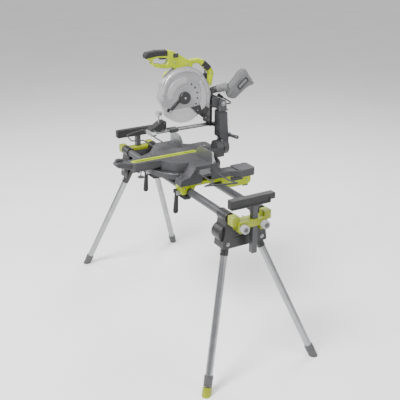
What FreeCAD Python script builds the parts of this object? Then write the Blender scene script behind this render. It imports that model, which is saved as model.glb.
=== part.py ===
import FreeCAD, Part
import math
import os

# Sliding compound mitre saw bolted to a folding work stand. Millimetres.
# +X is the operator's right, +Y points away from the operator, +Z is up, and the feet stand on z = 0.

V = FreeCAD.Vector
os.makedirs("parts", exist_ok=True)

# ---- stand: driving dimensions --------------------------------------------------------------
RAIL_Z = 800.0            # height of the rail tubes' centre lines
RAIL_HALF = 575.0         # half the rails' length
RAIL_Y = 89.0             # half the distance between the two rails
RAIL_R = 20.0
RAIL_BORE_R = 17.05       # inside radius of the rail, a running fit on the support arms
ARM_R = 17.0              # radius of the telescopic support arms
BRACE_X = 40.0            # middle of the cross brace
BRACE_HALF = 20.0
HOUSING_IN = 512.0        # inner and outer ends of a leg housing along X
HOUSING_OUT = 594.0
HOUSING_TOP = 792.0
HOUSING_LOW = 640.0
FOOT_X, FOOT_Y = 778.0, 322.0
PIVOT_X, PIVOT_Z = 536.0, 722.0
PIVOT_Y = 66.0
LEG_R = 18.0
LEG_WALL = 1.8
LEG_CAP_R = 21.5
CAP_LENGTH = 42.0
POST_X = 640.0            # work-support post
POST_HALF = 14.0
POST_Y = 15.0
POST_LOW = 618.0
SUPPORT_TOP = 911.0
SUPPORT_HALF = 121.0      # half the work-support bar's length
CARRIER_IN, CARRIER_OUT = 603.0, 662.0
CARRIER_Z = 772.0         # middle height of the lime carrier block
KNOB_R = 21.0
BRACKET_X = 178.0         # a bracket's middle, either side
BRACKET_HALF = 32.0
BRACKET_FRONT, BRACKET_REAR = -137.0, 286.0
DECK_Z = 845.0            # top of the brackets: the saw's feet stand here
SHEET = 3.0               # bracket wall
LEVER_R = 14.0

# ---- saw: driving dimensions, in the saw's own frame ------------------------------------------
# Its origin is the turntable's axis on the plane that the feet stand on.
SAW_Y = -12.0             # where that origin lies along the stand's Y
TABLE_Z = 92.0
TURNTABLE_R = 164.0
RIM_R = 200.0
FENCE_Y = 43.0
FENCE_TOP = 152.0
FENCE_HALF = 230.0
HINGE_Y, HINGE_Z = 230.0, 340.0       # chop hinge
ARBOR_Y, ARBOR_Z = 0.0, 397.0
BLADE_R = 127.0
BAG_X = 32.0
GUARD_IN, GUARD_OUT = -24.0, 20.0     # the upper guard's two faces along X
MOTOR_Y, MOTOR_Z, MOTOR_R = 12.0, 460.0, 42.0
MOTOR_OUT = -186.0                    # the motor can's outer end
SLIDE_Z = 204.0
SLIDE_X = (-68.0, -94.0)
SLIDE_R = 7.0
SLIDE_FRONT, SLIDE_REAR = -150.0, 236.0
TILT_Y = 236.0            # front face of the fixed bevel pivot housing


# ---- helpers ----------------------------------------------------------------------------------
def at(x, y, z):
    """A point given in the saw's frame."""
    return V(x, y + SAW_Y, z + DECK_Z)


def box(x0, x1, y0, y1, z0, z1):
    return Part.makeBox(x1 - x0, y1 - y0, z1 - z0, V(x0, y0, z0))


def saw_box(x0, x1, y0, y1, z0, z1):
    return box(x0, x1, y0 + SAW_Y, y1 + SAW_Y, z0 + DECK_Z, z1 + DECK_Z)


def rod(start, end, radius):
    way = end - start
    return Part.makeCylinder(radius, way.Length, start, way)


def pipe(start, end, outer, inner):
    way = end - start
    return rod(start, end, outer).cut(rod(start - way.normalize(), end + way, inner))


def cone(start, end, radius_start, radius_end):
    way = end - start
    return Part.makeCone(radius_start, radius_end, way.Length, start, way)


def fuse(*shapes):
    solid = shapes[0].multiFuse(list(shapes[1:])) if len(shapes) > 1 else shapes[0]
    return solid.removeSplitter()


def rounded(points, radius):
    """A closed wire through the points, in one plane, with each corner rounded."""
    count = len(points)
    radii = radius if isinstance(radius, (list, tuple)) else [radius] * count
    edges, last, first = [], None, None
    for i, corner in enumerate(points):
        before = (points[i - 1] - corner)
        after = (points[(i + 1) % count] - corner)
        turn = before.getAngle(after)
        reach = radii[i] / math.tan(turn / 2) if radii[i] else 0
        reach = min(reach, 0.49 * before.Length, 0.49 * after.Length)
        a = corner + V(before).normalize() * reach
        b = corner + V(after).normalize() * reach
        if last is not None and (a - last).Length > 1e-6:
            edges.append(Part.LineSegment(last, a).toShape())
        if first is None:
            first = a
        if reach:
            real = reach * math.tan(turn / 2)
            centre = corner + (V(before).normalize() + V(after).normalize()).normalize() * (
                real / math.sin(turn / 2))
            middle = centre + (corner - centre).normalize() * real
            edges.append(Part.Arc(a, middle, b).toShape())
        last = b
    if (first - last).Length > 1e-6:
        edges.append(Part.LineSegment(last, first).toShape())
    return Part.Wire(edges)


def plate(points, radius, thickness):
    """The rounded outline through the points, pulled along the vector thickness."""
    return Part.Face(rounded(points, radius)).extrude(thickness)


def side_plate(outline, x0, x1, radius=0.0, saw=True):
    """An outline of (y, z) pairs pulled from x0 to x1."""
    place = at if saw else V
    return plate([place(x0, y, z) for y, z in outline], radius, V(x1 - x0, 0, 0))


def front_plate(outline, y0, y1, radius=0.0, saw=True):
    """An outline of (x, z) pairs pulled from y0 to y1."""
    place = at if saw else V
    return plate([place(x, y0, z) for x, z in outline], radius, V(0, y1 - y0, 0))


def top_plate(outline, z0, z1, radius=0.0, saw=True):
    """An outline of (x, y) pairs pulled from z0 to z1."""
    place = at if saw else V
    return plate([place(x, y, z0) for x, y in outline], radius, V(0, 0, z1 - z0))


def soften(shape, radius, chosen=lambda edge: True):
    """Round the chosen edges. An edge that takes no round is left sharp."""
    edges = [edge for edge in shape.Edges if chosen(edge)]
    for size in (radius, radius * 0.6, radius * 0.3):
        try:
            smooth = shape.makeFillet(size, edges)
            if smooth.isValid() and smooth.Volume > 0:
                return smooth
        except Exception:
            continue
    return shape


def mirror_x(shape):
    return shape.mirror(V(0, 0, 0), V(1, 0, 0))


def bent_rod(points, bend, radius):
    """A round rod along straight runs joined by tangent arcs of the radius bend."""
    edges, last = [], points[0]
    for before, corner, after in zip(points, points[1:], points[2:]):
        u, w = (before - corner), (after - corner)
        turn = u.getAngle(w)
        reach = min(bend / math.tan(turn / 2), 0.48 * u.Length, 0.48 * w.Length)
        real = reach * math.tan(turn / 2)
        a, b = corner + V(u).normalize() * reach, corner + V(w).normalize() * reach
        centre = corner + (V(u).normalize() + V(w).normalize()).normalize() * (real / math.sin(turn / 2))
        edges.append(Part.LineSegment(last, a).toShape())
        edges.append(Part.Arc(a, centre + (corner - centre).normalize() * real, b).toShape())
        last = b
    edges.append(Part.LineSegment(last, points[-1]).toShape())
    start = Part.Wire([Part.Circle(points[0], points[1] - points[0], radius).toShape()])
    return Part.Wire(edges).makePipeShell([start], True, True)


def save(name, shape):
    solids = shape.Solids
    assert solids and shape.isValid(), name
    result = solids[0] if len(solids) == 1 else Part.makeCompound(solids)
    result.exportStep("parts/" + name + ".step")
    low, high = result.BoundBox.ZMin, result.BoundBox.ZMax
    print("%-24s solids %2d volume %9.1f cm3  z %7.1f %7.1f" % (name, len(solids), result.Volume / 1e3, low, high))


# ---- stand ------------------------------------------------------------------------------------
def rail(side):
    """One hollow rail of the stand's beam. The support arms telescope inside it."""
    return pipe(V(-RAIL_HALF, side * RAIL_Y, RAIL_Z), V(RAIL_HALF, side * RAIL_Y, RAIL_Z), RAIL_R, RAIL_BORE_R)


def cross_brace():
    """Rectangular tube between the rails, coped to fit them."""
    brace = box(BRACE_X - BRACE_HALF, BRACE_X + BRACE_HALF, -RAIL_Y, RAIL_Y, RAIL_Z - 13, RAIL_Z + 13)
    brace = brace.cut(box(BRACE_X - BRACE_HALF + 2.5, BRACE_X + BRACE_HALF - 2.5, -RAIL_Y, RAIL_Y,
                          RAIL_Z - 10.5, RAIL_Z + 10.5))
    for side in (-1, 1):
        brace = brace.cut(rod(V(-300, side * RAIL_Y, RAIL_Z), V(300, side * RAIL_Y, RAIL_Z), RAIL_R))
    return brace


def leg_way(end, side):
    """Unit vector from a leg's pivot to its foot."""
    way = V(end * FOOT_X, side * FOOT_Y, 0) - V(end * PIVOT_X, side * PIVOT_Y, PIVOT_Z)
    return way.normalize()


def leg_pivot(end, side):
    return V(end * PIVOT_X, side * PIVOT_Y, PIVOT_Z)


def pivot_axis(end, side):
    """Level axis of a leg's hinge, square to the leg."""
    return leg_way(end, side).cross(V(-1, 0, 0)).normalize()


def end_housing(end):
    """Moulded housing under the rail ends: saddles over the rails and side walls that splay outward,
    open underneath and at the inner side so that the legs fold up beneath the rails."""
    outline = [(-106, HOUSING_TOP), (106, HOUSING_TOP), (128, HOUSING_LOW), (-128, HOUSING_LOW)]
    skirt = side_plate(outline, HOUSING_IN, HOUSING_OUT, 8, saw=False)
    inside = [(-101, HOUSING_TOP - 6), (101, HOUSING_TOP - 6), (128, HOUSING_LOW - 40), (-128, HOUSING_LOW - 40)]
    skirt = skirt.cut(side_plate(inside, HOUSING_IN - 10, HOUSING_OUT - 6, 0, saw=False))
    cheeks = []
    for side in (-1, 1):
        bulge = rod(V(HOUSING_IN, side * 98, 714), V(HOUSING_OUT - 12, side * 98, 714), 44)
        keep = box(HOUSING_IN, HOUSING_OUT, min(side * 108, side * 160), max(side * 108, side * 160), 640, 770)
        bulge = bulge.common(keep)
        bulge = bulge.cut(side_plate(inside, HOUSING_IN - 10, HOUSING_OUT - 6, 0, saw=False))
        cheeks.append(bulge)
    saddles = [rod(V(HOUSING_IN + 4, side * RAIL_Y, RAIL_Z), V(RAIL_HALF + 1, side * RAIL_Y, RAIL_Z), 27)
               for side in (-1, 1)]
    shape = fuse(skirt, *cheeks, *saddles)
    for side in (-1, 1):
        shape = shape.cut(rod(V(HOUSING_IN - 5, side * RAIL_Y, RAIL_Z), V(HOUSING_OUT + 20, side * RAIL_Y, RAIL_Z),
                              RAIL_R))
        shape = shape.cut(rod(V(RAIL_HALF + 0.8, side * RAIL_Y, RAIL_Z), V(HOUSING_OUT + 9, side * RAIL_Y, RAIL_Z),
                              27.8))
    slot = box(HOUSING_IN - 5, HOUSING_OUT + 5, -60, 60, HOUSING_TOP - 8, HOUSING_TOP + 5)
    shape = shape.cut(slot)
    return shape if end > 0 else mirror_x(shape)


def rail_end_cap(end, side):
    """Round moulded collar around a rail's open end, with a bore that the support arm slides through."""
    start = V(end * RAIL_HALF, side * RAIL_Y, RAIL_Z)
    collar = pipe(start + V(end * 1.0, 0, 0), start + V(end * 20, 0, 0), 27.5, ARM_R + 0.05)
    return soften(collar, 3, lambda e: abs(e.BoundBox.XLength) < 0.01 and e.BoundBox.ZLength > 50)


def leg_bolts():
    """The four pins that the legs turn on, fixed in the housings' ears."""
    pins = []
    for end in (-1, 1):
        for side in (-1, 1):
            axis = pivot_axis(end, side)
            middle = leg_pivot(end, side)
            pins.append(rod(middle - axis * 27, middle + axis * 27, 5.0))
            for way in (-1, 1):
                pins[-1] = pins[-1].fuse(rod(middle + axis * way * 25, middle + axis * way * 31, 9.0))
    return Part.makeCompound(pins)


def leg_ears(end, side):
    """Two steel ears around a leg's head, held in the housing."""
    axis, middle = pivot_axis(end, side), leg_pivot(end, side)
    ears = []
    for hand in (-1, 1):
        face = middle + axis * hand * 21.0
        disc = rod(face, face + axis * hand * 4, 17)
        across = V(1, 0, 0)
        rise = across.cross(axis)
        rise = rise if rise.z > 0 else -rise
        corners = [face - across * 17, face + across * 17, face + across * 17 + rise * 50,
                   face - across * 17 + rise * 50]
        tab = plate(corners, 0, axis * hand * 4)
        ears.append(disc.fuse(tab).cut(rod(middle - axis * 40, middle + axis * 40, 5.0)))
    return ears


def leg_socket(end, side):
    """Head casting of a leg: an eye on the pivot pin and a socket over the tube."""
    middle, way, axis = leg_pivot(end, side), leg_way(end, side), pivot_axis(end, side)
    socket = rod(middle + way * 6, middle + way * 135, LEG_R + 2.6)
    eye = rod(middle - axis * 20.5, middle + axis * 20.5, 15)
    shape = socket.fuse(eye)
    shape = shape.cut(rod(middle + way * 22, middle + way * 140, LEG_R))
    return shape.cut(rod(middle - axis * 30, middle + axis * 30, 5.05)).removeSplitter()


def leg_tube(end, side):
    middle, way = leg_pivot(end, side), leg_way(end, side)
    reach = (V(end * FOOT_X, side * FOOT_Y, 0) - middle).Length
    screw = 30 if (end, side) == (1, -1) else 0
    start, stop = middle + way * 22, middle + way * (reach - 26 - screw)
    return pipe(start, stop, LEG_R, LEG_R - LEG_WALL)


def leg_foot(end, side):
    """Ribbed end cap on a leg, cut level where it stands on the floor."""
    middle, way = leg_pivot(end, side), leg_way(end, side)
    reach = (V(end * FOOT_X, side * FOOT_Y, 0) - middle).Length
    cap = rod(middle + way * (reach - 26 - CAP_LENGTH), middle + way * (reach + 10), LEG_CAP_R)
    cap = cap.cut(rod(middle + way * (reach - 30 - CAP_LENGTH), middle + way * (reach - 26), LEG_R))
    x, y = end * FOOT_X, side * FOOT_Y
    return cap.cut(box(x - 100, x + 100, y - 100, y + 100, -60, 0))


def levelling_parts():
    """The adjustable foot: a neck collar fixed on its leg, and a screw foot that turns out of it."""
    end, side = 1, -1
    middle, way = leg_pivot(end, side), leg_way(end, side)
    reach = (V(end * FOOT_X, side * FOOT_Y, 0) - middle).Length
    collar = rod(middle + way * (reach - 96), middle + way * (reach - 44), LEG_CAP_R)
    collar = collar.cut(rod(middle + way * (reach - 110), middle + way * (reach - 56), LEG_R))
    collar = collar.cut(rod(middle + way * (reach - 60), middle + way * reach, 7.05))
    stem = rod(middle + way * (reach - 80), middle + way * (reach - 20), 7.0)
    foot = rod(middle + way * (reach - 38), middle + way * (reach + 12), 23.0)
    x, y = end * FOOT_X, side * FOOT_Y
    foot = stem.fuse(foot).cut(box(x - 120, x + 120, y - 120, y + 120, -60, 0)).removeSplitter()
    return collar, foot


def support_arms(end):
    """The two round arms that carry a work support out of the rails."""
    arms = [rod(V(end * (CARRIER_OUT - 18), side * RAIL_Y, RAIL_Z), V(end * 95, side * RAIL_Y, RAIL_Z), ARM_R)
            for side in (-1, 1)]
    bores = [rod(V(end * CARRIER_OUT, side * RAIL_Y, RAIL_Z), V(end * 80, side * RAIL_Y, RAIL_Z), ARM_R - 2)
             for side in (-1, 1)]
    return Part.makeCompound([arm.cut(bore) for arm, bore in zip(arms, bores)])


def support_carrier(end):
    """Block on the two arms that guides the post, with the boss that each clamp knob screws into."""
    block = box(CARRIER_IN, CARRIER_OUT, -78, 78, CARRIER_Z - 32, CARRIER_Z + 26)
    block = soften(block, 9, lambda e: e.BoundBox.XLength > 20)
    wings = [box(CARRIER_IN + 2, CARRIER_OUT - 14, min(side * 70, side * 108), max(side * 70, side * 108),
                 RAIL_Z - 22, RAIL_Z + 22) for side in (-1, 1)]
    hollow = box(CARRIER_IN + 30, CARRIER_OUT + 5, -40, 40, CARRIER_Z - 40, CARRIER_Z - 8)
    shape = fuse(block, *wings).cut(hollow)
    shape = shape.cut(box(POST_X - POST_HALF - 0.3, POST_X + POST_HALF + 0.3, POST_Y - POST_HALF - 0.3,
                          POST_Y + POST_HALF + 0.3, 600, 900))
    for side in (-1, 1):
        shape = shape.cut(rod(V(HOUSING_OUT, side * RAIL_Y, RAIL_Z), V(CARRIER_OUT - 18, side * RAIL_Y, RAIL_Z), ARM_R))
        shape = shape.cut(rod(V(CARRIER_OUT - 20, side * 58, CARRIER_Z - 6), V(CARRIER_OUT + 5, side * 58, CARRIER_Z - 6),
                              4.05))
    return shape if end > 0 else mirror_x(shape)


def work_support(end):
    """Square post with the T-bar that carries the far end of a long workpiece, and its low length stop."""
    post = box(POST_X - POST_HALF, POST_X + POST_HALF, POST_Y - POST_HALF, POST_Y + POST_HALF, POST_LOW,
               SUPPORT_TOP - 30)
    bar = [(-SUPPORT_HALF, SUPPORT_TOP - 46), (SUPPORT_HALF - 24, SUPPORT_TOP - 46),
           (SUPPORT_HALF - 24, SUPPORT_TOP - 30), (SUPPORT_HALF, SUPPORT_TOP - 30),
           (SUPPORT_HALF, SUPPORT_TOP), (-SUPPORT_HALF, SUPPORT_TOP)]
    bar = side_plate(bar, POST_X - 17, POST_X + 17, 2, saw=False)
    groove = side_plate([(-SUPPORT_HALF - 5, SUPPORT_TOP - 40), (SUPPORT_HALF - 30, SUPPORT_TOP - 40),
                         (SUPPORT_HALF - 30, SUPPORT_TOP - 14), (-SUPPORT_HALF - 5, SUPPORT_TOP - 14)],
                        POST_X + 13.5, POST_X + 18, 0, saw=False)
    inside = box(POST_X - 12, POST_X + 12, POST_Y - 12, POST_Y + 12, POST_LOW - 1, SUPPORT_TOP - 60)
    channel = box(POST_X - 14, POST_X + 11, -SUPPORT_HALF + 3, SUPPORT_HALF - 27, SUPPORT_TOP - 50, SUPPORT_TOP - 4)
    channel = channel.cut(box(POST_X - 20, POST_X + 20, POST_Y - 20, POST_Y + 20, 600, 930))
    shape = post.fuse(bar).cut(groove).cut(inside).cut(channel).removeSplitter()
    return shape if end > 0 else mirror_x(shape)


def clamp_knob(end, side):
    """Round scalloped knob with a screw, turned by hand."""
    y, z = side * 58, CARRIER_Z - 6
    face = CARRIER_OUT + 0.5
    grip = rod(V(face, y, z), V(face + 24, y, z), KNOB_R)
    for i in range(10):
        angle = math.radians(36 * i)
        cy, cz = y + 24 * math.cos(angle), z + 24 * math.sin(angle)
        grip = grip.cut(rod(V(face - 1, cy, cz), V(face + 30, cy, cz), 5))
    shape = grip.fuse(rod(V(CARRIER_OUT - 18, y, z), V(face + 5, y, z), 4.0)).removeSplitter()
    return shape if end > 0 else mirror_x(shape)


def saw_bracket(end):
    """Inverted sheet channel that holds one side of the saw, deep over both rails' outer sides."""
    outline = [(BRACKET_FRONT, DECK_Z), (BRACKET_REAR, DECK_Z), (BRACKET_REAR, 788), (BRACKET_REAR - 22, 776),
               (142, 776), (100, 824), (-54, 826), (-68, 800), (-68, RAIL_Z - 1), (-110, RAIL_Z - 1),
               (-110, 790), (BRACKET_FRONT, 790)]
    x0, x1 = BRACKET_X - BRACKET_HALF, BRACKET_X + BRACKET_HALF
    channel = side_plate(outline, x0, x1, [5, 5, 5, 5, 8, 12, 10, 6, 0, 0, 0, 6], saw=False)
    channel = channel.cut(box(x0 + SHEET, x1 - SHEET, BRACKET_FRONT + SHEET, BRACKET_REAR - SHEET, 700, DECK_Z - SHEET))
    for side in (-1, 1):
        channel = channel.cut(rod(V(x0 - 5, side * RAIL_Y, RAIL_Z), V(x1 + 5, side * RAIL_Y, RAIL_Z), RAIL_R + 0.4))
    for y in SAW_FEET:
        channel = channel.cut(rod(V(BRACKET_X + 8, y + SAW_Y, 700), V(BRACKET_X + 8, y + SAW_Y, 900), 4.2))
    return channel if end > 0 else mirror_x(channel)


def bracket_pads():
    """Saddle under each bracket's web on both rails, the lower jaw's fixed half and the rear rest foot."""
    pads = []
    for end in (-1, 1):
        x = end * BRACKET_X
        for side in (-1, 1):
            saddle = box(x - 27, x + 27, side * RAIL_Y - 14, side * RAIL_Y + 14, RAIL_Z, DECK_Z - SHEET)
            pads.append(saddle.cut(rod(V(x - 40, side * RAIL_Y, RAIL_Z), V(x + 40, side * RAIL_Y, RAIL_Z),
                                       RAIL_R + 0.3)))
        hook = side_plate([(-134, 800), (-113, 800), (-113, 776), (-72, 768), (-88, 756), (-118, 758), (-134, 772)],
                          x - 26, x + 26, [0, 0, 4, 4, 8, 10, 6], saw=False)
        hook = hook.cut(rod(V(x - 40, -RAIL_Y, RAIL_Z), V(x + 40, -RAIL_Y, RAIL_Z), RAIL_R + 0.3))
        pads.append(hook.cut(rod(V(x, -150, 778), V(x, -118, 778), 9)))
        pads.append(box(x - 22, x + 22, 246, 276, 764, DECK_Z - SHEET))
    return Part.makeCompound(pads)


def lever(end):
    """Long tapered grip of a bracket's quick-release cam, hanging down in front of the rail."""
    x = end * BRACKET_X
    top = V(x, -150, 800)
    grip = cone(top, V(x - 6, -154, 693), 9.5, LEVER_R)
    grip = grip.fuse(Part.makeSphere(LEVER_R, V(x - 6, -154, 693)))
    hub = rod(V(x - 15, -150, 800), V(x + 15, -150, 800), 11)
    return grip.fuse(hub).cut(rod(V(x - 30, -150, 800), V(x + 30, -150, 800), 4.05)).removeSplitter()


def lever_pins():
    """The pins that the two levers turn on, each in a pair of lugs on its bracket's front."""
    pins = []
    for end in (-1, 1):
        x = end * BRACKET_X
        for way in (-1, 1):
            lug = box(min(x + way * 16, x + way * 20), max(x + way * 16, x + way * 20), -160, BRACKET_FRONT, 790, 812)
            pins.append(lug)
        pins[-1] = pins[-1].fuse([pins[-2], rod(V(x - 22, -150, 800), V(x + 22, -150, 800), 4.0)]).removeSplitter()
        pins.pop(-2)
    return Part.makeCompound(pins)


# ---- saw --------------------------------------------------------------------------------------
SEAT_Z = (34.0, 38.0)          # height of the bolt heads' seats, front and rear
SAW_FEET = (-112.0, 240.0)      # where the mounting bolts stand along Y, in the saw's frame


def saw_base():
    """Cast base: ring under the turntable, two side wings at table height, and four feet."""
    ring = rod(at(0, 0, 12), at(0, 0, 40), RIM_R)
    ring = ring.cut(rod(at(0, 0, 34), at(0, 0, 60), TURNTABLE_R + 2))
    parts = [ring]
    for side in (-1, 1):
        wing = side_plate([(-52, TABLE_Z), (72, TABLE_Z), (90, 30), (-84, 30)], 0, 232, [6, 6, 10, 10])
        wing = wing.cut(rod(at(0, 0, 20), at(0, 0, 200), TURNTABLE_R + 2))
        foot = side_plate([(-54, 86), (-30, 86), (-12, 30), (-19, 0), (-145, 0), (-140, 30), (-88, 44)], 172, 232,
                          [8, 8, 10, 3, 4, 10, 14])
        foot = foot.cut(side_plate([(-128, -5), (-128, 24), (-60, 50), (-40, -5)], 182, 222, 4))
        rear = top_plate([(150, 40), (232, 40), (232, 150), (266, 196), (266, 290), (168, 290), (168, 160)], 6, 34,
                         [4, 4, 20, 20, 16, 16, 20])
        rear = rear.cut(rod(at(0, 0, 0), at(0, 0, 60), TURNTABLE_R + 2))
        arch = top_plate([(168, 190), (266, 190), (266, 290), (168, 290)], 0, 40, [8, 14, 18, 14])
        arch = arch.cut(top_plate([(186, 205), (250, 205), (250, 268), (186, 268)], -5, 30, 10))
        half = fuse(wing, foot, rear, arch)
        parts.append(half if side > 0 else half.mirror(at(0, 0, 0), V(1, 0, 0)))
    hub = rod(at(0, 0, 12), at(0, 0, 40), 60)
    shape = fuse(hub, *parts).cut(pipe(at(0, 0, 0), at(0, 0, 28), 168, 62))
    webs = [saw_box(-168, 168, -3, 3, 12, 30), saw_box(-3, 3, -168, 168, 12, 30)]
    shape = fuse(shape, *webs)
    shape = shape.cut(rod(at(0, 0, 0), at(0, 0, 60), 14))
    for side in (-1, 1):
        for y in SAW_FEET:
            shape = shape.cut(rod(at(side * (BRACKET_X + 8), y, -5), at(side * (BRACKET_X + 8), y, 60), 4.2))
            seat = SEAT_Z[0] if y < 0 else SEAT_Z[1]
            shape = shape.cut(rod(at(side * (BRACKET_X + 8), y, seat), at(side * (BRACKET_X + 8), y, 60), 10))
        pocket = saw_box(180, 224, -40, 62, -5, 84)
        shape = shape.cut(pocket if side > 0 else pocket.mirror(at(0, 0, 0), V(1, 0, 0)))
        for y in LOOP_Y:
            shape = shape.cut(rod(at(side * 166, y, LOOP_Z), at(side * 240, y, LOOP_Z), LOOP_R + 0.05))
    shape = shape.cut(saw_box(-240, -140, 52.6, 61.4, TABLE_Z - 6, TABLE_Z + 5))
    return shape


LOOP_Y = (-48.0, 34.0)
LOOP_Z = 62.0
LOOP_R = 4.0


def support_loop(side):
    """Bent rod that carries a long workpiece beside the table: it slides into the wing."""
    inner, outer = side * 172, side * 516
    points = [at(inner, LOOP_Y[0], LOOP_Z), at(side * 400, LOOP_Y[0], LOOP_Z), at(side * 418, LOOP_Y[0] - 66, LOOP_Z),
              at(side * 470, LOOP_Y[0] - 74, LOOP_Z + 22), at(outer, LOOP_Y[1] - 20, TABLE_Z - LOOP_R),
              at(side * 470, LOOP_Y[1], LOOP_Z + 8), at(side * 400, LOOP_Y[1], LOOP_Z), at(inner, LOOP_Y[1], LOOP_Z)]
    return bent_rod(points, 16, LOOP_R)


def turntable():
    """Round cast table with the arm that reaches towards the operator and the tapered mitre handle."""
    disc = rod(at(0, 0, 41), at(0, 0, TABLE_Z), TURNTABLE_R)
    disc = disc.cut(pipe(at(0, 0, 40), at(0, 0, TABLE_Z - 12), TURNTABLE_R - 12, 34))
    arm = top_plate([(-40, -60), (-40, -312), (40, -312), (40, -60)], 50, TABLE_Z, [0, 14, 14, 0])
    slope = top_plate([(-50, -100), (-40, -300), (40, -300), (50, -100)], 58, TABLE_Z, [0, 20, 20, 0])
    nose = side_plate([(-300, 88), (-300, 54), (-340, 66), (-385, 78), (-400, 90), (-398, 104), (-380, 110),
                       (-345, 100)], -24, 24, [0, 0, 20, 10, 8, 8, 10, 20])
    nose = soften(nose, 7, lambda e: e.BoundBox.XLength < 0.1)
    shape = fuse(disc, arm, slope, nose)
    shape = shape.cut(top_plate([(-19, -306), (19, -306), (19, 84), (-19, 84)], TABLE_Z - 6, TABLE_Z + 30, 19))
    shape = shape.cut(saw_box(-5, 13, -290, 70, 30, 100))
    shape = shape.cut(rod(at(0, -255, 30), at(0, -255, 80), 4.05))
    tilt = saw_box(-38, 38, 150, TILT_Y, 44, TABLE_Z - 8)
    housing = rod(at(0, 196, TABLE_Z), at(0, TILT_Y, TABLE_Z), 40)
    shape = fuse(shape, tilt, housing).cut(rod(at(0, 206, TABLE_Z), at(0, TILT_Y + 10, TABLE_Z), 22.05))
    return shape.cut(saw_box(-5, 13, 70, 160, 30, 200)).fuse(rod(at(0, 0, 26), at(0, 0, 42), 13.9)).removeSplitter()


def kerf_insert():
    """Replaceable table insert with the slot that the blade drops into."""
    insert = top_plate([(-18.5, -305.5), (18.5, -305.5), (18.5, 83.5), (-18.5, 83.5)], TABLE_Z - 6, TABLE_Z, 18.5)
    return insert.cut(top_plate([(-4, -288), (10, -288), (10, 79), (-4, 79)], 60, 120, 4))


def mitre_scale():
    """Bright scale ring fixed round the front of the base."""
    ring = pipe(at(0, 0, 40), at(0, 0, 42), RIM_R - 2, TURNTABLE_R + 4)
    keep = top_plate([(0, 20), (-190, -150), (-150, -240), (150, -240), (190, -150)], 30, 60)
    return ring.common(keep)


def mitre_latch():
    """Push lever on top of the mitre handle that frees the turntable."""
    return side_plate([(-392, 112), (-374, 114.5), (-352, 110), (-352, 116), (-372, 121), (-392, 117)], -13, 13, 2)


def front_foot():
    """Screw foot under the turntable's arm, down to the bench."""
    return fuse(rod(at(0, -255, 5), at(0, -255, 78), 4.0), cone(at(0, -255, 0), at(0, -255, 6), 20, 15))


def fence_right():
    face = front_plate([(62, TABLE_Z + 0.5), (170, TABLE_Z + 0.5), (170, TABLE_Z), (FENCE_HALF, TABLE_Z),
                        (FENCE_HALF, FENCE_TOP), (92, FENCE_TOP), (62, TABLE_Z + 22)],
                       FENCE_Y, FENCE_Y + 9, [0, 0, 0, 0, 6, 8, 4])
    rib = [(FENCE_Y + 9, TABLE_Z + 0.5), (FENCE_Y + 27, TABLE_Z + 0.5), (FENCE_Y + 9, FENCE_TOP - 8)]
    ribs = [side_plate(rib, x, x + 6) for x in (100, 160, 214)]
    return fuse(face, *ribs)


def fence_left():
    """Left fence, which slides outward to make room for the tilted head. A key runs in the base's slot."""
    face = front_plate([(-94, TABLE_Z + 0.4), (-FENCE_HALF, TABLE_Z + 0.4), (-FENCE_HALF, FENCE_TOP),
                        (-130, FENCE_TOP), (-94, TABLE_Z + 22)], FENCE_Y, FENCE_Y + 9, [0, 0, 6, 8, 4])
    foot = saw_box(-FENCE_HALF, -150, FENCE_Y + 9, FENCE_Y + 26, TABLE_Z + 0.4, TABLE_Z + 7)
    key = saw_box(-FENCE_HALF, -170, 53.2, 60.8, TABLE_Z - 5.5, TABLE_Z + 1)
    return fuse(face, foot, key)


def saw_bolts():
    """Four bolts and nuts that hold the saw's feet on the brackets."""
    bolts = []
    for side in (-1, 1):
        for y in SAW_FEET:
            x = side * (BRACKET_X + 8)
            seat = SEAT_Z[0] if y < 0 else SEAT_Z[1]
            head = rod(at(x, y, seat), at(x, y, seat + 6), 8)
            shank = rod(at(x, y, -12), at(x, y, seat + 1), 4.0)
            nut = rod(at(x, y, -SHEET - 7), at(x, y, -SHEET), 6.5)
            bolts.append(fuse(head, shank, nut))
    return Part.makeCompound(bolts)


def bevel_arm():
    """Rear post that tilts on the turntable's pivot, with the beam that carries the slide bearing."""
    pivot = rod(at(0, 208, TABLE_Z), at(0, TILT_Y + 34, TABLE_Z), 22.0)
    flange = rod(at(0, TILT_Y + 0.6, TABLE_Z), at(0, TILT_Y + 30, TABLE_Z), 44)
    post = side_plate([(TILT_Y + 0.6, 80), (TILT_Y + 40, 80), (262, 294), (218, 294), (218, 150), (TILT_Y + 0.6, 138)],
                      -40, 22, [4, 10, 14, 10, 10, 4])
    bridge = saw_box(-85, -30, 218, 262, SLIDE_Z - 8, SLIDE_Z + 8)
    beam = saw_box(-85, -77, 0, 232, SLIDE_Z - 7, SLIDE_Z + 7)
    bearing = front_plate([(-58, 214), (-100, 214), (-105, 209), (-105, 204), (-94, 193), (-58, 193)], -42, 2, 3)
    shape = fuse(pivot, flange, post, bridge, beam, bearing)
    shape = shape.cut(rod(at(0, 250, 150), at(0, 290, 150), 5.05))
    for x in SLIDE_X:
        shape = shape.cut(rod(at(x, -60, SLIDE_Z), at(x, 20, SLIDE_Z), SLIDE_R + 0.05))
    return shape


def bevel_lever():
    """Clamp lever behind the bevel pivot, pointing to the operator's right."""
    y = TILT_Y + 42
    hub = rod(at(0, y, 150), at(0, y + 18, 150), 14)
    grip = cone(at(8, y + 9, 150), at(84, y + 9, 158), 8, 11).fuse(Part.makeSphere(11, at(84, y + 9, 158)))
    stud = rod(at(0, y - 22, 150), at(0, y + 4, 150), 5)
    return fuse(hub, grip, stud)


def slide_rods():
    """The two rods that carry the head. They run through the bearing on the bevel arm."""
    return Part.makeCompound([rod(at(x, SLIDE_FRONT + 4, SLIDE_Z), at(x, SLIDE_REAR - 36, SLIDE_Z), SLIDE_R)
                              for x in SLIDE_X])


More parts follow.
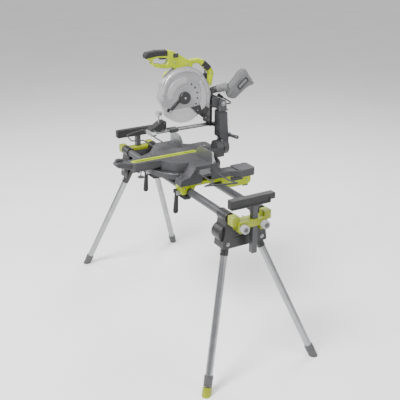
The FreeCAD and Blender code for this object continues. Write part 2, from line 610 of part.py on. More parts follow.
def rod_end_block():
    """Front block that ties the two rods together."""
    block = front_plate([(-114, 192), (-50, 192), (-44, 200), (-48, 217), (-112, 217), (-120, 206)], SLIDE_FRONT - 12,
                        SLIDE_FRONT + 18, 5)
    block = soften(block, 3, lambda e: e.BoundBox.YLength < 0.1)
    for x in SLIDE_X:
        block = block.cut(rod(at(x, SLIDE_FRONT + 4, SLIDE_Z), at(x, 100, SLIDE_Z), SLIDE_R))
    return block


def lock_box():
    """Black box above the rods' front ends that holds the slide lock's screw."""
    shape = side_plate([(-158, 217), (-66, 217), (-66, 262), (-92, 262), (-128, 240), (-158, 226)], -110, -62,
                       [2, 3, 6, 8, 10, 3])
    return shape.cut(rod(at(-84, -100, 230), at(-84, -100, 280), 4.05))


def slide_lock_knob():
    stem = rod(at(-84, -100, 232), at(-84, -100, 296), 4.0)
    head = rod(at(-84, -100, 292), at(-84, -100, 312), 17)
    for i in range(8):
        angle = math.pi * i / 4
        x, y = -84 + 19.5 * math.cos(angle), -100 + 19.5 * math.sin(angle)
        head = head.cut(rod(at(x, y, 280), at(x, y, 320), 4))
    return fuse(stem, head)


def head_carriage():
    """Casting on the rods' rear ends with the two ears that the chop hinge turns in."""
    foot = saw_box(-102.5, -58, 200, 214, SLIDE_Z - 7.5, 300)
    foot = foot.cut(saw_box(-88, -74, 190, 220, 180, SLIDE_Z + 10))
    web = side_plate([(200, 299), (262, 299), (258, 340), (246, 362), (214, 362), (200, 330)], -102.5, -58,
                     [2, 6, 8, 10, 12, 10])
    bridge = saw_box(-102.5, 30, 228, 262, 298, 305)
    ear = side_plate([(208, 299), (254, 299), (250, 346), (242, 360), (216, 360), (208, 346)], 18, 30,
                     [2, 6, 8, 10, 10, 8])
    pin = rod(at(-80, HINGE_Y, HINGE_Z), at(32, HINGE_Y, HINGE_Z), 7.0)
    shape = fuse(foot, web, bridge, ear, pin)
    for x in SLIDE_X:
        shape = shape.cut(rod(at(x, 190, SLIDE_Z), at(x, 200, SLIDE_Z), SLIDE_R))
    return shape


def head_casting():
    """Arm from the chop hinge to the gear case on the blade's left side, which the motor bolts to."""
    knuckle = rod(at(-56, HINGE_Y, HINGE_Z), at(16, HINGE_Y, HINGE_Z), 22)
    arm = side_plate([(HINGE_Y - 4, 361), (HINGE_Y - 14, 322), (150, 318), (60, 352), (-30, 352), (-58, 392),
                      (-50, 470), (0, 512), (70, 500), (150, 420)], -57, -25.2, [10, 10, 20, 20, 30, 30, 30, 30, 40, 30])
    arm2 = side_plate([(HINGE_Y - 4, 361), (HINGE_Y - 14, 322), (168, 326), (168, 384)], -30, 16, [10, 10, 8, 8])
    shape = fuse(knuckle, arm, arm2)
    shape = shape.cut(rod(at(-70, HINGE_Y, HINGE_Z), at(40, HINGE_Y, HINGE_Z), 7.05))
    return shape.cut(rod(at(-50, ARBOR_Y, ARBOR_Z), at(-20, ARBOR_Y, ARBOR_Z), 9.05))


HOLE_COUNT, HOLE_FROM, HOLE_STEP = 6, -52.0, 22.0      # arc of sight holes behind the hub
HOLE_ARC, HOLE_R = 78.0, 5.0
CHOP_LIMIT = 47.0                                      # how far the head swings down, in degrees


def tilted_table():
    """The room that the table takes up, in the head's rest frame, when the head is tilted 45 degrees to the
    left and swung right down: a wedge under the guard's left side."""
    wedge = front_plate([(0, TABLE_Z + 2), (-60, TABLE_Z + 62), (-60, 0), (0, 0)], -400, 300)
    wedge.rotate(at(0, HINGE_Y, HINGE_Z), V(1, 0, 0), -CHOP_LIMIT)
    return wedge


def upper_guard():
    """Fixed guard over the blade's upper half, open below, with the dust chute at its rear."""
    x0, x1 = GUARD_IN, GUARD_OUT
    outline = [(-142, 394), (-118, 498), (-48, 553), (28, 558), (96, 530), (146, 452), (158, 400),
               (150, 330), (128, 296), (104, 286), (72, 318), (40, 344), (-60, 340), (-112, 358)]
    radii = [14, 70, 60, 60, 60, 60, 50, 30, 12, 10, 20, 20, 10, 14]
    shell = side_plate(outline, x0, x1, radii)
    inner = rod(at(x0 + 3, ARBOR_Y, ARBOR_Z), at(x1 - 3, ARBOR_Y, ARBOR_Z), BLADE_R + 8)
    lower = saw_box(x0 + 3, x1 - 3, -200, 90, 200, 380)
    shell = shell.cut(inner).cut(lower)
    shell = soften(shell, 5, lambda e: abs(e.BoundBox.XMin - x1) < 0.1 and abs(e.BoundBox.XMax - x1) < 0.1
                   and e.BoundBox.ZMax > DECK_Z + 400)
    chute = rod(at(-2, 140, 401), at(-2, 168, 408), 15)
    shell = shell.fuse(chute).cut(rod(at(-2, 110, 393.5), at(-2, 175, 409.8), 12))
    opening = rod(at(x0 - 5, ARBOR_Y, ARBOR_Z), at(x1 - 3.5, ARBOR_Y, ARBOR_Z), 24)
    shell = shell.cut(tilted_table())
    for step in range(HOLE_COUNT):
        angle = math.radians(HOLE_FROM + step * HOLE_STEP)
        y, z = ARBOR_Y + HOLE_ARC * math.cos(angle), ARBOR_Z + HOLE_ARC * math.sin(angle)
        shell = shell.cut(rod(at(x1 - 8, y, z), at(x1 + 5, y, z), HOLE_R))
    return shell.cut(opening).cut(rod(at(-30, ARBOR_Y, ARBOR_Z), at(60, ARBOR_Y, ARBOR_Z), 16)).removeSplitter()


def lower_guard():
    """Swinging guard that covers the blade's lower half: a sheet on each side of the blade and a rim."""
    ring = rod(at(-9, ARBOR_Y, ARBOR_Z), at(13, ARBOR_Y, ARBOR_Z), BLADE_R + 6)
    ring = ring.cut(rod(at(-7, ARBOR_Y, ARBOR_Z), at(11, ARBOR_Y, ARBOR_Z), BLADE_R + 4))
    cover = side_plate([(-170, 470), (-20, 404), (60, 360), (130, 330), (130, 200), (-170, 200)], -12, 16, 0)
    ring = ring.common(cover)
    return ring.cut(rod(at(-12, ARBOR_Y, ARBOR_Z), at(8, ARBOR_Y, ARBOR_Z), 40)).cut(
        rod(at(-12, ARBOR_Y, ARBOR_Z), at(20, ARBOR_Y, ARBOR_Z), 11.05))


def blade():
    """Toothed disc with its bore on the arbor."""
    disc = rod(at(-1.2, ARBOR_Y, ARBOR_Z), at(1.2, ARBOR_Y, ARBOR_Z), BLADE_R - 4)
    teeth, count = [], 40
    for i in range(count):
        a = 2 * math.pi * i / count
        step = 2 * math.pi / count
        tip = [(BLADE_R - 5, a), (BLADE_R, a + 0.15 * step), (BLADE_R - 1, a + 0.45 * step), (BLADE_R - 5, a + 0.85 * step)]
        points = [at(-1.2, ARBOR_Y + r * math.cos(t), ARBOR_Z + r * math.sin(t)) for r, t in tip]
        teeth.append(plate(points, 0, V(2.4, 0, 0)))
    shape = disc.multiFuse(teeth).removeSplitter()
    return shape.cut(rod(at(-3, ARBOR_Y, ARBOR_Z), at(3, ARBOR_Y, ARBOR_Z), 8.0))


def arbor_set():
    """Spindle with its two clamping flanges and the blade bolt."""
    spindle = rod(at(-50, ARBOR_Y, ARBOR_Z), at(6, ARBOR_Y, ARBOR_Z), 8.0)
    spindle = spindle.fuse(rod(at(-50, ARBOR_Y, ARBOR_Z), at(-26, ARBOR_Y, ARBOR_Z), 9.0))
    inner = rod(at(-5, ARBOR_Y, ARBOR_Z), at(-1.2, ARBOR_Y, ARBOR_Z), 20)
    outer = rod(at(1.2, ARBOR_Y, ARBOR_Z), at(5, ARBOR_Y, ARBOR_Z), 20)
    return fuse(spindle, inner, outer, rod(at(4, ARBOR_Y, ARBOR_Z), at(10, ARBOR_Y, ARBOR_Z), 9))


def hub_cover():
    """Round cover over the arbor with the dark link that works the lower guard."""
    boss = rod(at(14.5, ARBOR_Y, ARBOR_Z), at(GUARD_OUT + 2, ARBOR_Y, ARBOR_Z), 15.9)
    boss = boss.fuse(rod(at(10.6, ARBOR_Y, ARBOR_Z), at(14.6, ARBOR_Y, ARBOR_Z), 11.0))
    boss = boss.cut(rod(at(10, ARBOR_Y, ARBOR_Z), at(GUARD_OUT, ARBOR_Y, ARBOR_Z), 9.5))
    cap = rod(at(GUARD_OUT + 0.5, ARBOR_Y, ARBOR_Z), at(GUARD_OUT + 14, ARBOR_Y, ARBOR_Z), 32)
    cap = soften(cap, 5, lambda e: e.BoundBox.XMin > GUARD_OUT + 13)
    arm = plate([at(GUARD_OUT + 0.5, -14, 392), at(GUARD_OUT + 0.5, -88, 326), at(GUARD_OUT + 0.5, -97, 338),
                 at(GUARD_OUT + 0.5, -22, 404)], [2, 4, 4, 2], V(7, 0, 0))
    return fuse(boss, cap, arm)


def motor_housing():
    """Round motor can to the left of the gear case, closed at its outer end."""
    can = rod(at(MOTOR_OUT, MOTOR_Y, MOTOR_Z), at(-57, MOTOR_Y, MOTOR_Z), MOTOR_R)
    can = soften(can, 10, lambda e: e.BoundBox.XMax < MOTOR_OUT + 1)
    return can.cut(rod(at(MOTOR_OUT + 6, MOTOR_Y, MOTOR_Z), at(-50, MOTOR_Y, MOTOR_Z), MOTOR_R - 4))


def armature():
    """Motor rotor on its shaft, inside the can."""
    core = rod(at(MOTOR_OUT + 40, MOTOR_Y, MOTOR_Z), at(-80, MOTOR_Y, MOTOR_Z), MOTOR_R - 8)
    return core.fuse(rod(at(MOTOR_OUT + 7, MOTOR_Y, MOTOR_Z), at(-58, MOTOR_Y, MOTOR_Z), 6)).removeSplitter()


def main_handle():
    """Lime D-handle at the front and the carry handle behind it, in one moulding on top of the guard."""
    d_handle = side_plate([(-178, 600), (-208, 612), (-206, 640), (-150, 648), (-70, 645), (0, 606), (60, 568),
                           (40, 540), (-40, 542), (-62, 560), (-94, 556), (-150, 566), (-176, 580)], -20, 16,
                          [8, 14, 14, 30, 30, 40, 12, 12, 10, 10, 14, 14, 14])
    gap = side_plate([(-176, 606), (-168, 588), (-100, 576), (-84, 592), (-92, 610), (-150, 616)], -30, 30,
                     [8, 8, 8, 8, 8, 8])
    d_handle = d_handle.cut(gap)
    d_handle = soften(d_handle, 9)
    carry = side_plate([(36, 588), (86, 592), (114, 584), (176, 526), (184, 506), (170, 440), (148, 436), (154, 500),
                        (146, 514), (98, 560), (80, 566), (40, 564)], -16, 12,
                       [6, 20, 16, 16, 20, 6, 6, 14, 14, 14, 16, 6])
    carry = soften(carry, 8)
    shape = fuse(d_handle, carry).cut(handle_grips()).cut(upper_guard())
    recess = saw_box(-9, 5, -138, -90, 595, 617.4)
    return shape.cut(recess)


def handle_grips():
    """The soft grip over the top of the D-handle and the band on the carry handle."""
    grip = side_plate([(-212, 613), (-216, 632), (-206, 645), (-153, 651), (-89, 648), (-89, 617.5), (-150, 621)],
                      -22, 18, [8, 12, 12, 30, 4, 4, 10])
    band = side_plate([(106, 554), (142, 519), (180, 551), (140, 592)], -18, 14, 0).common(
        side_plate([(86, 596), (115, 588), (180, 528), (188, 506), (152, 498), (144, 511), (94, 556)], -18, 14,
                   [6, 16, 16, 6, 6, 14, 6]))
    return Part.makeCompound([soften(grip, 8), soften(band, 5)])


def trigger():
    return side_plate([(-130, 603), (-96, 601), (-94, 609), (-98, 613), (-134, 613)], -8, 4, 2)


def chip_deflector():
    """Dark plate at the guard's lower rear."""
    return side_plate([(40, 340), (72, 308), (104, 280), (128, 290), (148, 322), (110, 352)], GUARD_OUT + 0.2,
                      GUARD_OUT + 5, 4)


def laser_module():
    body = saw_box(GUARD_OUT + 6, GUARD_OUT + 34, 104, 128, 262, 292)
    body = soften(body, 4)
    return fuse(body, saw_box(GUARD_OUT + 5.2, GUARD_OUT + 8, 108, 124, 280, 330))


SPOUT_FROM, SPOUT_TO = at(-2, 188, 413), at(26, 236, 428)


def dust_port():
    """Elbow between the guard's chute and the bag, with the bag's clip ring."""
    neck = rod(at(-2, 162, 406.5), at(-2, 188, 413), 18).fuse(Part.makeSphere(18, at(-2, 188, 413)))
    spout = rod(SPOUT_FROM, SPOUT_TO, 18)
    hollow = rod(at(-2, 148, 403), at(-2, 188, 413), 15.1).fuse(Part.makeSphere(15.1, at(-2, 188, 413)))
    hollow = hollow.fuse(rod(SPOUT_FROM, SPOUT_TO + (SPOUT_TO - SPOUT_FROM) * 0.2, 15.1))
    return fuse(neck, spout).cut(hollow)


def dust_bag():
    """Closed outer shape of the cloth bag."""
    outline = [(230, 424), (330, 522), (364, 524), (430, 430), (374, 402), (294, 350), (252, 370)]
    bag = side_plate(outline, BAG_X - 18, BAG_X + 18, [10, 22, 22, 14, 20, 22, 18])
    way = (SPOUT_TO - SPOUT_FROM).normalize()
    collar = rod(SPOUT_TO - way * 18, SPOUT_TO + way * 16, 21.5)
    return fuse(bag, collar).cut(rod(SPOUT_TO - way * 40, SPOUT_TO + way * 2, 18.4))


# The lead leaves the head's rear, turns down and round behind the carriage, and ends in a tied coil.
CORD_R = 4.0
RELIEF = (at(-8, 222, 380), at(-8, 250, 362.5))
COIL_MID = at(-71, 130, 420)
COIL_IN, COIL_OUT = 38.0, 54.0
COIL_HALF = 12.5
LEAD_POINTS = [at(-8, 250, 362.5), at(-8, 284, 341.3), at(-22, 312, 324), at(-54, 326, 309), at(-94, 320, 300),
               at(-126, 294, 300), at(-140, 256, 311), at(-135, 220, 329), at(-115, 194, 352), at(-95, 180, 384),
               at(-88.5, 180, 420)]
TAIL_POINTS = [at(-79, 180, 420), at(-79, 180, 448)]


def cord_relief():
    """Ribbed boot where the lead leaves the head."""
    boot = cone(RELIEF[0], RELIEF[1], 10, 6)
    for share in (0.4, 0.6, 0.8):
        middle = RELIEF[0] + (RELIEF[1] - RELIEF[0]) * share
        way = (RELIEF[1] - RELIEF[0]).normalize()
        boot = boot.cut(pipe(middle - way, middle + way, 12, 8.4 - 3 * share))
    return boot


def cord_lead():
    """The lead's uncoiled stretch: straight runs joined by tangent arcs."""
    edges, last = [], LEAD_POINTS[0]
    for before, corner, after in zip(LEAD_POINTS, LEAD_POINTS[1:], LEAD_POINTS[2:]):
        u, w = before - corner, after - corner
        half = (math.pi - u.getAngle(w)) / 2
        reach = 0.45 * min(u.Length, w.Length)
        radius = reach / math.tan(half)
        print("lead arc radius %.1f, turn %.0f" % (radius, math.degrees(2 * half)))
        a, b = corner + V(u).normalize() * reach, corner + V(w).normalize() * reach
        inward = (V(u).normalize() + V(w).normalize()).normalize()
        centre = corner + inward * (radius / math.cos(half))
        edges.append(Part.LineSegment(last, a).toShape())
        edges.append(Part.Arc(a, centre - inward * radius, b).toShape())
        last = b
    edges.append(Part.LineSegment(last, LEAD_POINTS[-1]).toShape())
    path = Part.Wire(edges)
    start = Part.Wire([Part.Circle(LEAD_POINTS[0], LEAD_POINTS[1] - LEAD_POINTS[0], CORD_R).toShape()])
    tube = path.makePipeShell([start], True, True)
    print("lead length %.1f, volume over section %.1f" % (path.Length, tube.Volume / (math.pi * CORD_R ** 2)))
    return tube


def cord_coil():
    """Outer shape of the tied coil, and the short tail to the plug."""
    start, stop = COIL_MID - V(COIL_HALF, 0, 0), COIL_MID + V(COIL_HALF, 0, 0)
    return pipe(start, stop, COIL_OUT, COIL_IN)


def plug():
    base = TAIL_POINTS[-1]
    body = cone(base, base + V(0, 0, 14), 6, 12).fuse(rod(base + V(0, 0, 14), base + V(0, 0, 40), 12))
    pins = [rod(base + V(x, 0, 38), base + V(x, 0, 57), 2.4) for x in (-6.4, 6.4)]
    tail = rod(TAIL_POINTS[0], base, CORD_R)
    return fuse(body, *pins, tail).cut(rod(COIL_MID - V(30, 0, 0), COIL_MID + V(30, 0, 0), COIL_OUT))


save("rails", Part.makeCompound([rail(-1), rail(1)]))
save("cross_brace", cross_brace())
ears = [ear for end in (-1, 1) for side in (-1, 1) for ear in leg_ears(end, side)]
save("leg_pivots", Part.makeCompound(ears + leg_bolts().Solids))
save("rail_caps", Part.makeCompound([rail_end_cap(end, side) for end in (-1, 1) for side in (-1, 1)]))
collar, levelling_foot = levelling_parts()
save("levelling_foot", levelling_foot)
for end, hand in ((1, "right"), (-1, "left")):
    save("end_housing_" + hand, end_housing(end))
    save("support_carrier_" + hand, Part.makeCompound([support_carrier(end)] + support_arms(end).Solids))
    save("work_support_" + hand, work_support(end))
    save("saw_bracket_" + hand, saw_bracket(end))
    save("bracket_lever_" + hand, lever(end))
    save("support_loop_" + hand, support_loop(end))
    for side, place in ((-1, "front"), (1, "rear")):
        foot = collar if (end, side) == (1, -1) else leg_foot(end, side)
        save("leg_%s_%s" % (hand, place), Part.makeCompound([leg_socket(end, side), leg_tube(end, side), foot]))
        save("clamp_knob_%s_%s" % (hand, place), clamp_knob(end, side))
save("bracket_fittings", Part.makeCompound(bracket_pads().Solids + lever_pins().Solids))
save("slide_rods", Part.makeCompound(slide_rods().Solids + [rod_end_block()]))
save("guard_covers", Part.makeCompound([hub_cover(), chip_deflector()]))
for builder in (saw_base, turntable, kerf_insert, mitre_scale, mitre_latch, front_foot, fence_right, fence_left,
                saw_bolts, bevel_arm, bevel_lever, lock_box, slide_lock_knob, head_carriage, head_casting,
                upper_guard, lower_guard, blade, arbor_set, motor_housing, armature, main_handle, handle_grips,
                trigger, laser_module, dust_port, dust_bag, cord_relief, cord_lead, cord_coil, plug):
    save(builder.__name__, builder())
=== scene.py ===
"""Looks of a sliding mitre saw bolted to its folding stand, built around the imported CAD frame.

Lengths are metres in the CAD frame: +X is the operator's right, +Y is away from the operator, +Z is up."""
import math
import random

import bmesh
import bpy
from mathutils import Matrix, Vector
from mathutils.bvhtree import BVHTree


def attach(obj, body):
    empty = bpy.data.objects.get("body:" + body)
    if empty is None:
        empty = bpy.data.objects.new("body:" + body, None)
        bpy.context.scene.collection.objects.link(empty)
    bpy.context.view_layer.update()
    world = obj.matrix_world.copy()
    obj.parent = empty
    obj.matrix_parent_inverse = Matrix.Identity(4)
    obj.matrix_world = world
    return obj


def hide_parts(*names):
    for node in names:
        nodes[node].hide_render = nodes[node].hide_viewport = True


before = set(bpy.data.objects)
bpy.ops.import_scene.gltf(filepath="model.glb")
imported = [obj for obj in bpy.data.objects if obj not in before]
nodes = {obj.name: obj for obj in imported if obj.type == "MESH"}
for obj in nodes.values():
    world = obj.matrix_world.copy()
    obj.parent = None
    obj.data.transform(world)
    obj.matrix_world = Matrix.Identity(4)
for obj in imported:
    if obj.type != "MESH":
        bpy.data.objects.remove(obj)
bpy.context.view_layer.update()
scene = bpy.context.scene

# ---- driving dimensions, the same as in part.py -------------------------------------------------
SAW_Y, DECK_Z = -0.012, 0.845          # where the saw's own origin lies in the row frame
RAIL_Y, RAIL_Z = 0.089, 0.800
ARM_BLOCK_X, ARM_TUBE_R = 0.6035, 0.0172   # where an arm's end block starts, and a reach just over its tube
ARBOR = (0.0, 0.397)                   # (y, z) in the saw's frame
MOTOR = (0.012, 0.460)
CORD_R = 0.004


def at(x, y, z):
    """A point given in the saw's frame, in millimetres as on its drawing."""
    return Vector((x / 1000, y / 1000 + SAW_Y, z / 1000 + DECK_Z))


# ---- camera, lights and floor -------------------------------------------------------------------
AZIMUTH, ELEVATION = math.radians(60.0), math.radians(22.5)
AIM, DISTANCE, LENS = Vector((0.055, 0.06, 0.668)), 3.7, 60.5


def looking_from(azimuth, elevation):
    return Vector((math.sin(azimuth) * math.cos(elevation), -math.cos(azimuth) * math.cos(elevation),
                   math.sin(elevation)))


def camera():
    data = bpy.data.cameras.new("camera")
    data.lens, data.sensor_width = LENS, 36.0
    eye = bpy.data.objects.new("camera", data)
    back = looking_from(AZIMUTH, ELEVATION)
    eye.location = AIM + back * DISTANCE
    eye.rotation_euler = back.to_track_quat("Z", "Y").to_euler()
    scene.collection.objects.link(eye)
    scene.camera = eye


def area_light(name, azimuth, elevation, distance, size, power, tint=(1, 1, 1)):
    data = bpy.data.lights.new(name, "AREA")
    data.shape, data.size, data.energy, data.color = "DISK", size, power, tint
    lamp = bpy.data.objects.new(name, data)
    back = looking_from(math.radians(azimuth), math.radians(elevation))
    lamp.location = AIM + back * distance
    lamp.rotation_euler = back.to_track_quat("Z", "Y").to_euler()
    scene.collection.objects.link(lamp)


def studio():
    area_light("key", 15, 55, 4.0, 1.6, 330)
    area_light("fill", 112, 22, 4.2, 2.2, 70)
    area_light("back", 215, 50, 4.2, 2.0, 130)
    area_light("left", -60, 30, 4.2, 2.2, 60)
    world = bpy.data.worlds.new("studio")
    scene.world = world
    world.use_nodes = True
    tree = world.node_tree
    way = tree.nodes.new("ShaderNodeTexCoord")
    height = tree.nodes.new("ShaderNodeSeparateXYZ")
    sky = tree.nodes.new("ShaderNodeValToRGB")
    sky.color_ramp.elements[0].position, sky.color_ramp.elements[0].color = 0.0, (0.38, 0.38, 0.39, 1)
    sky.color_ramp.elements[1].position, sky.color_ramp.elements[1].color = 0.75, (1, 1, 1, 1)
    tree.links.new(way.outputs["Generated"], height.inputs[0])
    tree.links.new(height.outputs["Z"], sky.inputs[0])
    tree.links.new(sky.outputs["Color"], tree.nodes["Background"].inputs["Color"])
    tree.nodes["Background"].inputs["Strength"].default_value = 0.85


camera()
studio()

# ---- small node helpers -------------------------------------------------------------------------
class Surface:
    """A material under construction: each call adds one node and hands back its output."""

    def __init__(self, name):
        self.material = bpy.data.materials.new(name)
        self.material.use_nodes = True
        self.tree = self.material.node_tree
        self.shader = self.tree.nodes["Principled BSDF"]
        self.place = self.node("ShaderNodeTexCoord").outputs["Object"]

    def node(self, kind, **settings):
        made = self.tree.nodes.new(kind)
        for key, value in settings.items():
            setattr(made, key, value)
        return made

    def put(self, source, socket):
        self.tree.links.new(source, socket)

    def feed(self, socket, value):
        """Link value to the socket if it is an output, or set it there if it is a number or a colour."""
        if isinstance(value, bpy.types.NodeSocket):
            self.put(value, socket)
        else:
            socket.default_value = value

    def scaled(self, stretch):
        mapping = self.node("ShaderNodeMapping")
        mapping.inputs["Scale"].default_value = stretch
        self.put(self.place, mapping.inputs["Vector"])
        return mapping.outputs["Vector"]

    def noise(self, size, detail=3.0, stretch=(1, 1, 1)):
        """Noise whose blotches are about size metres across."""
        made = self.node("ShaderNodeTexNoise")
        made.inputs["Scale"].default_value = 1 / size
        made.inputs["Detail"].default_value = detail
        self.put(self.scaled(stretch), made.inputs["Vector"])
        return made.outputs["Fac"]

    def cells(self, size):
        made = self.node("ShaderNodeTexVoronoi")
        made.inputs["Scale"].default_value = 1 / size
        self.put(self.place, made.inputs["Vector"])
        return made.outputs["Distance"]

    def bands(self, period, direction, distortion=0.0):
        """Sine bands of that period in metres across one axis."""
        made = self.node("ShaderNodeTexWave", wave_type="BANDS", bands_direction=direction)
        made.inputs["Scale"].default_value = math.pi / (10 * period)
        made.inputs["Distortion"].default_value = distortion
        self.put(self.place, made.inputs["Vector"])
        return made.outputs["Fac"]

    def spread(self, value, low, high, to_low=0.0, to_high=1.0):
        """Map low..high onto to_low..to_high, clamped."""
        made = self.node("ShaderNodeMapRange", clamp=True)
        for name, number in (("From Min", low), ("From Max", high), ("To Min", to_low), ("To Max", to_high)):
            made.inputs[name].default_value = number
        self.put(value, made.inputs["Value"])
        return made.outputs["Result"]

    def maths(self, operation, first, second=0.0):
        made = self.node("ShaderNodeMath", operation=operation)
        self.feed(made.inputs[0], first)
        self.feed(made.inputs[1], second)
        return made.outputs[0]

    def mix(self, share, first, second):
        made = self.node("ShaderNodeMix", data_type="RGBA")
        self.feed(made.inputs[0], share)
        self.feed(made.inputs[6], first if isinstance(first, bpy.types.NodeSocket) else (*first, 1))
        self.feed(made.inputs[7], second if isinstance(second, bpy.types.NodeSocket) else (*second, 1))
        return made.outputs[2]

    def edges(self, radius):
        """0 on flat ground, rising to 1 on edges sharper than the radius."""
        bevel = self.node("ShaderNodeBevel", samples=4)
        bevel.inputs["Radius"].default_value = radius
        normal = self.node("ShaderNodeNewGeometry").outputs["Normal"]
        dot = self.node("ShaderNodeVectorMath", operation="DOT_PRODUCT")
        self.put(bevel.outputs["Normal"], dot.inputs[0])
        self.put(normal, dot.inputs[1])
        return self.spread(dot.outputs["Value"], 0.99, 0.85)

    def bump(self, height, distance, strength=1.0, base=None):
        made = self.node("ShaderNodeBump")
        made.inputs["Distance"].default_value = distance
        made.inputs["Strength"].default_value = strength
        self.put(height, made.inputs["Height"])
        if base is not None:
            self.put(base, made.inputs["Normal"])
        return made.outputs["Normal"]

    def rounding(self, radius):
        """Surface direction with every edge rounded to the radius."""
        bevel = self.node("ShaderNodeBevel", samples=4)
        bevel.inputs["Radius"].default_value = radius
        return bevel.outputs["Normal"]

    def done(self, **sockets):
        for name, value in sockets.items():
            self.feed(self.shader.inputs[name.replace("_", " ").title().replace("Ior", "IOR")], value)
        return self.material


def shade(colour, factor):
    return tuple(min(1.0, c * factor) for c in colour)


def moulded(name, colour, rough=0.45, grain=0.0009, depth=0.00005, sheen_band=0.06, worn=None, shine=0.5):
    """Injection-moulded plastic: fine grain, uneven gloss, light handling marks on the edges."""
    s = Surface(name)
    cloud = s.noise(0.06, 4)
    tone = s.mix(s.spread(cloud, 0.35, 0.65), shade(colour, 0.86), shade(colour, 1.1))
    edge = s.maths("MULTIPLY", s.edges(0.0014), s.spread(s.noise(0.012, 5), 0.38, 0.62))
    tone = s.mix(s.maths("MULTIPLY", edge, 0.55), tone, worn or shade(colour, 1.7))
    gloss = s.spread(s.noise(0.02, 4), 0.3, 0.7, rough - sheen_band, rough + sheen_band)
    grained = s.bump(s.noise(grain, 2), depth, 0.7, s.rounding(0.0012))
    return s.done(base_color=tone, roughness=gloss, normal=grained, specular_ior_level=shine)


def painted(name, colour, rough=0.32, worn=(0.35, 0.35, 0.35), peel=0.0022, depth=0.00004, coat=0.25,
            metallic=0.0, shine=0.5):
    """Sprayed paint on metal: faint orange peel, soft colour drift, thin metal showing on sharp edges."""
    s = Surface(name)
    tone = s.mix(s.spread(s.noise(0.09, 3), 0.35, 0.65), shade(colour, 0.9), shade(colour, 1.07))
    fleck = s.spread(s.cells(0.0035), 0.04, 0.09, 1.0, 0.0)
    tone = s.mix(s.maths("MULTIPLY", fleck, 0.12), tone, shade(colour, 0.55))
    edge = s.maths("MULTIPLY", s.edges(0.0011), s.spread(s.noise(0.009, 5), 0.5, 0.62))
    tone = s.mix(s.maths("MULTIPLY", edge, 0.6), tone, worn)
    gloss = s.spread(s.noise(0.03, 4), 0.3, 0.7, rough - 0.05, rough + 0.09)
    skin = s.bump(s.noise(peel, 2), depth, 0.8, s.rounding(0.0011))
    return s.done(base_color=tone, roughness=gloss, normal=skin, coat_weight=coat, coat_roughness=0.15,
                  metallic=metallic, specular_ior_level=shine)


def cast(name, colour, rough=0.5, worn=(0.32, 0.32, 0.33), metallic=0.25):
    """Painted sand casting: pebbled skin under satin paint."""
    s = Surface(name)
    tone = s.mix(s.spread(s.noise(0.05, 4), 0.35, 0.65), shade(colour, 0.84), shade(colour, 1.12))
    edge = s.maths("MULTIPLY", s.edges(0.0016), s.spread(s.noise(0.01, 5), 0.42, 0.6))
    tone = s.mix(s.maths("MULTIPLY", edge, 0.6), tone, worn)
    pebble = s.maths("ADD", s.noise(0.0026, 3), s.maths("MULTIPLY", s.cells(0.0018), 0.6))
    gloss = s.spread(s.noise(0.012, 4), 0.3, 0.7, rough - 0.07, rough + 0.1)
    skin = s.bump(pebble, 0.00016, 0.75, s.rounding(0.0016))
    return s.done(base_color=tone, roughness=gloss, normal=skin, metallic=metallic)


def bare_metal(name, colour, rough, stretch=(1, 1, 1), line=0.0008, depth=0.00002, stain=0.12):
    """Drawn, turned or ground metal: lines along the stretched axis, soft staining."""
    s = Surface(name)
    tone = s.mix(s.spread(s.noise(0.05, 4), 0.35, 0.7), shade(colour, 1 - stain), shade(colour, 1.05))
    fine = s.noise(line, 3, stretch)
    tone = s.mix(s.maths("MULTIPLY", s.spread(fine, 0.35, 0.65), 0.3), tone, shade(colour, 0.75))
    gloss = s.spread(fine, 0.3, 0.7, rough - 0.07, rough + 0.1)
    skin = s.bump(fine, depth, 0.8, s.rounding(0.0008))
    return s.done(base_color=tone, roughness=gloss, normal=skin, metallic=1.0)


def woven(name, colour, thread=0.0011, twist=0.25):
    """Coarse plain weave: threads over and under, lint and a soft drift of colour."""
    s = Surface(name)
    across, along = s.bands(thread, "Y", twist), s.bands(thread, "Z", twist)
    weave = s.maths("MULTIPLY", across, along)
    tone = s.mix(s.spread(s.noise(0.04, 4), 0.3, 0.7), shade(colour, 0.82), shade(colour, 1.1))
    tone = s.mix(s.spread(weave, 0.0, 0.7, 0.55, 0.0), tone, shade(colour, 0.5))
    tone = s.mix(s.spread(s.noise(0.004, 5), 0.6, 0.75, 0.0, 0.35), tone, shade(colour, 1.4))
    skin = s.bump(s.maths("ADD", weave, s.maths("MULTIPLY", s.noise(0.006, 3), 0.7)), 0.0005, 0.8)
    return s.done(base_color=tone, roughness=0.92, normal=skin, sheen_weight=0.35, sheen_roughness=0.5)


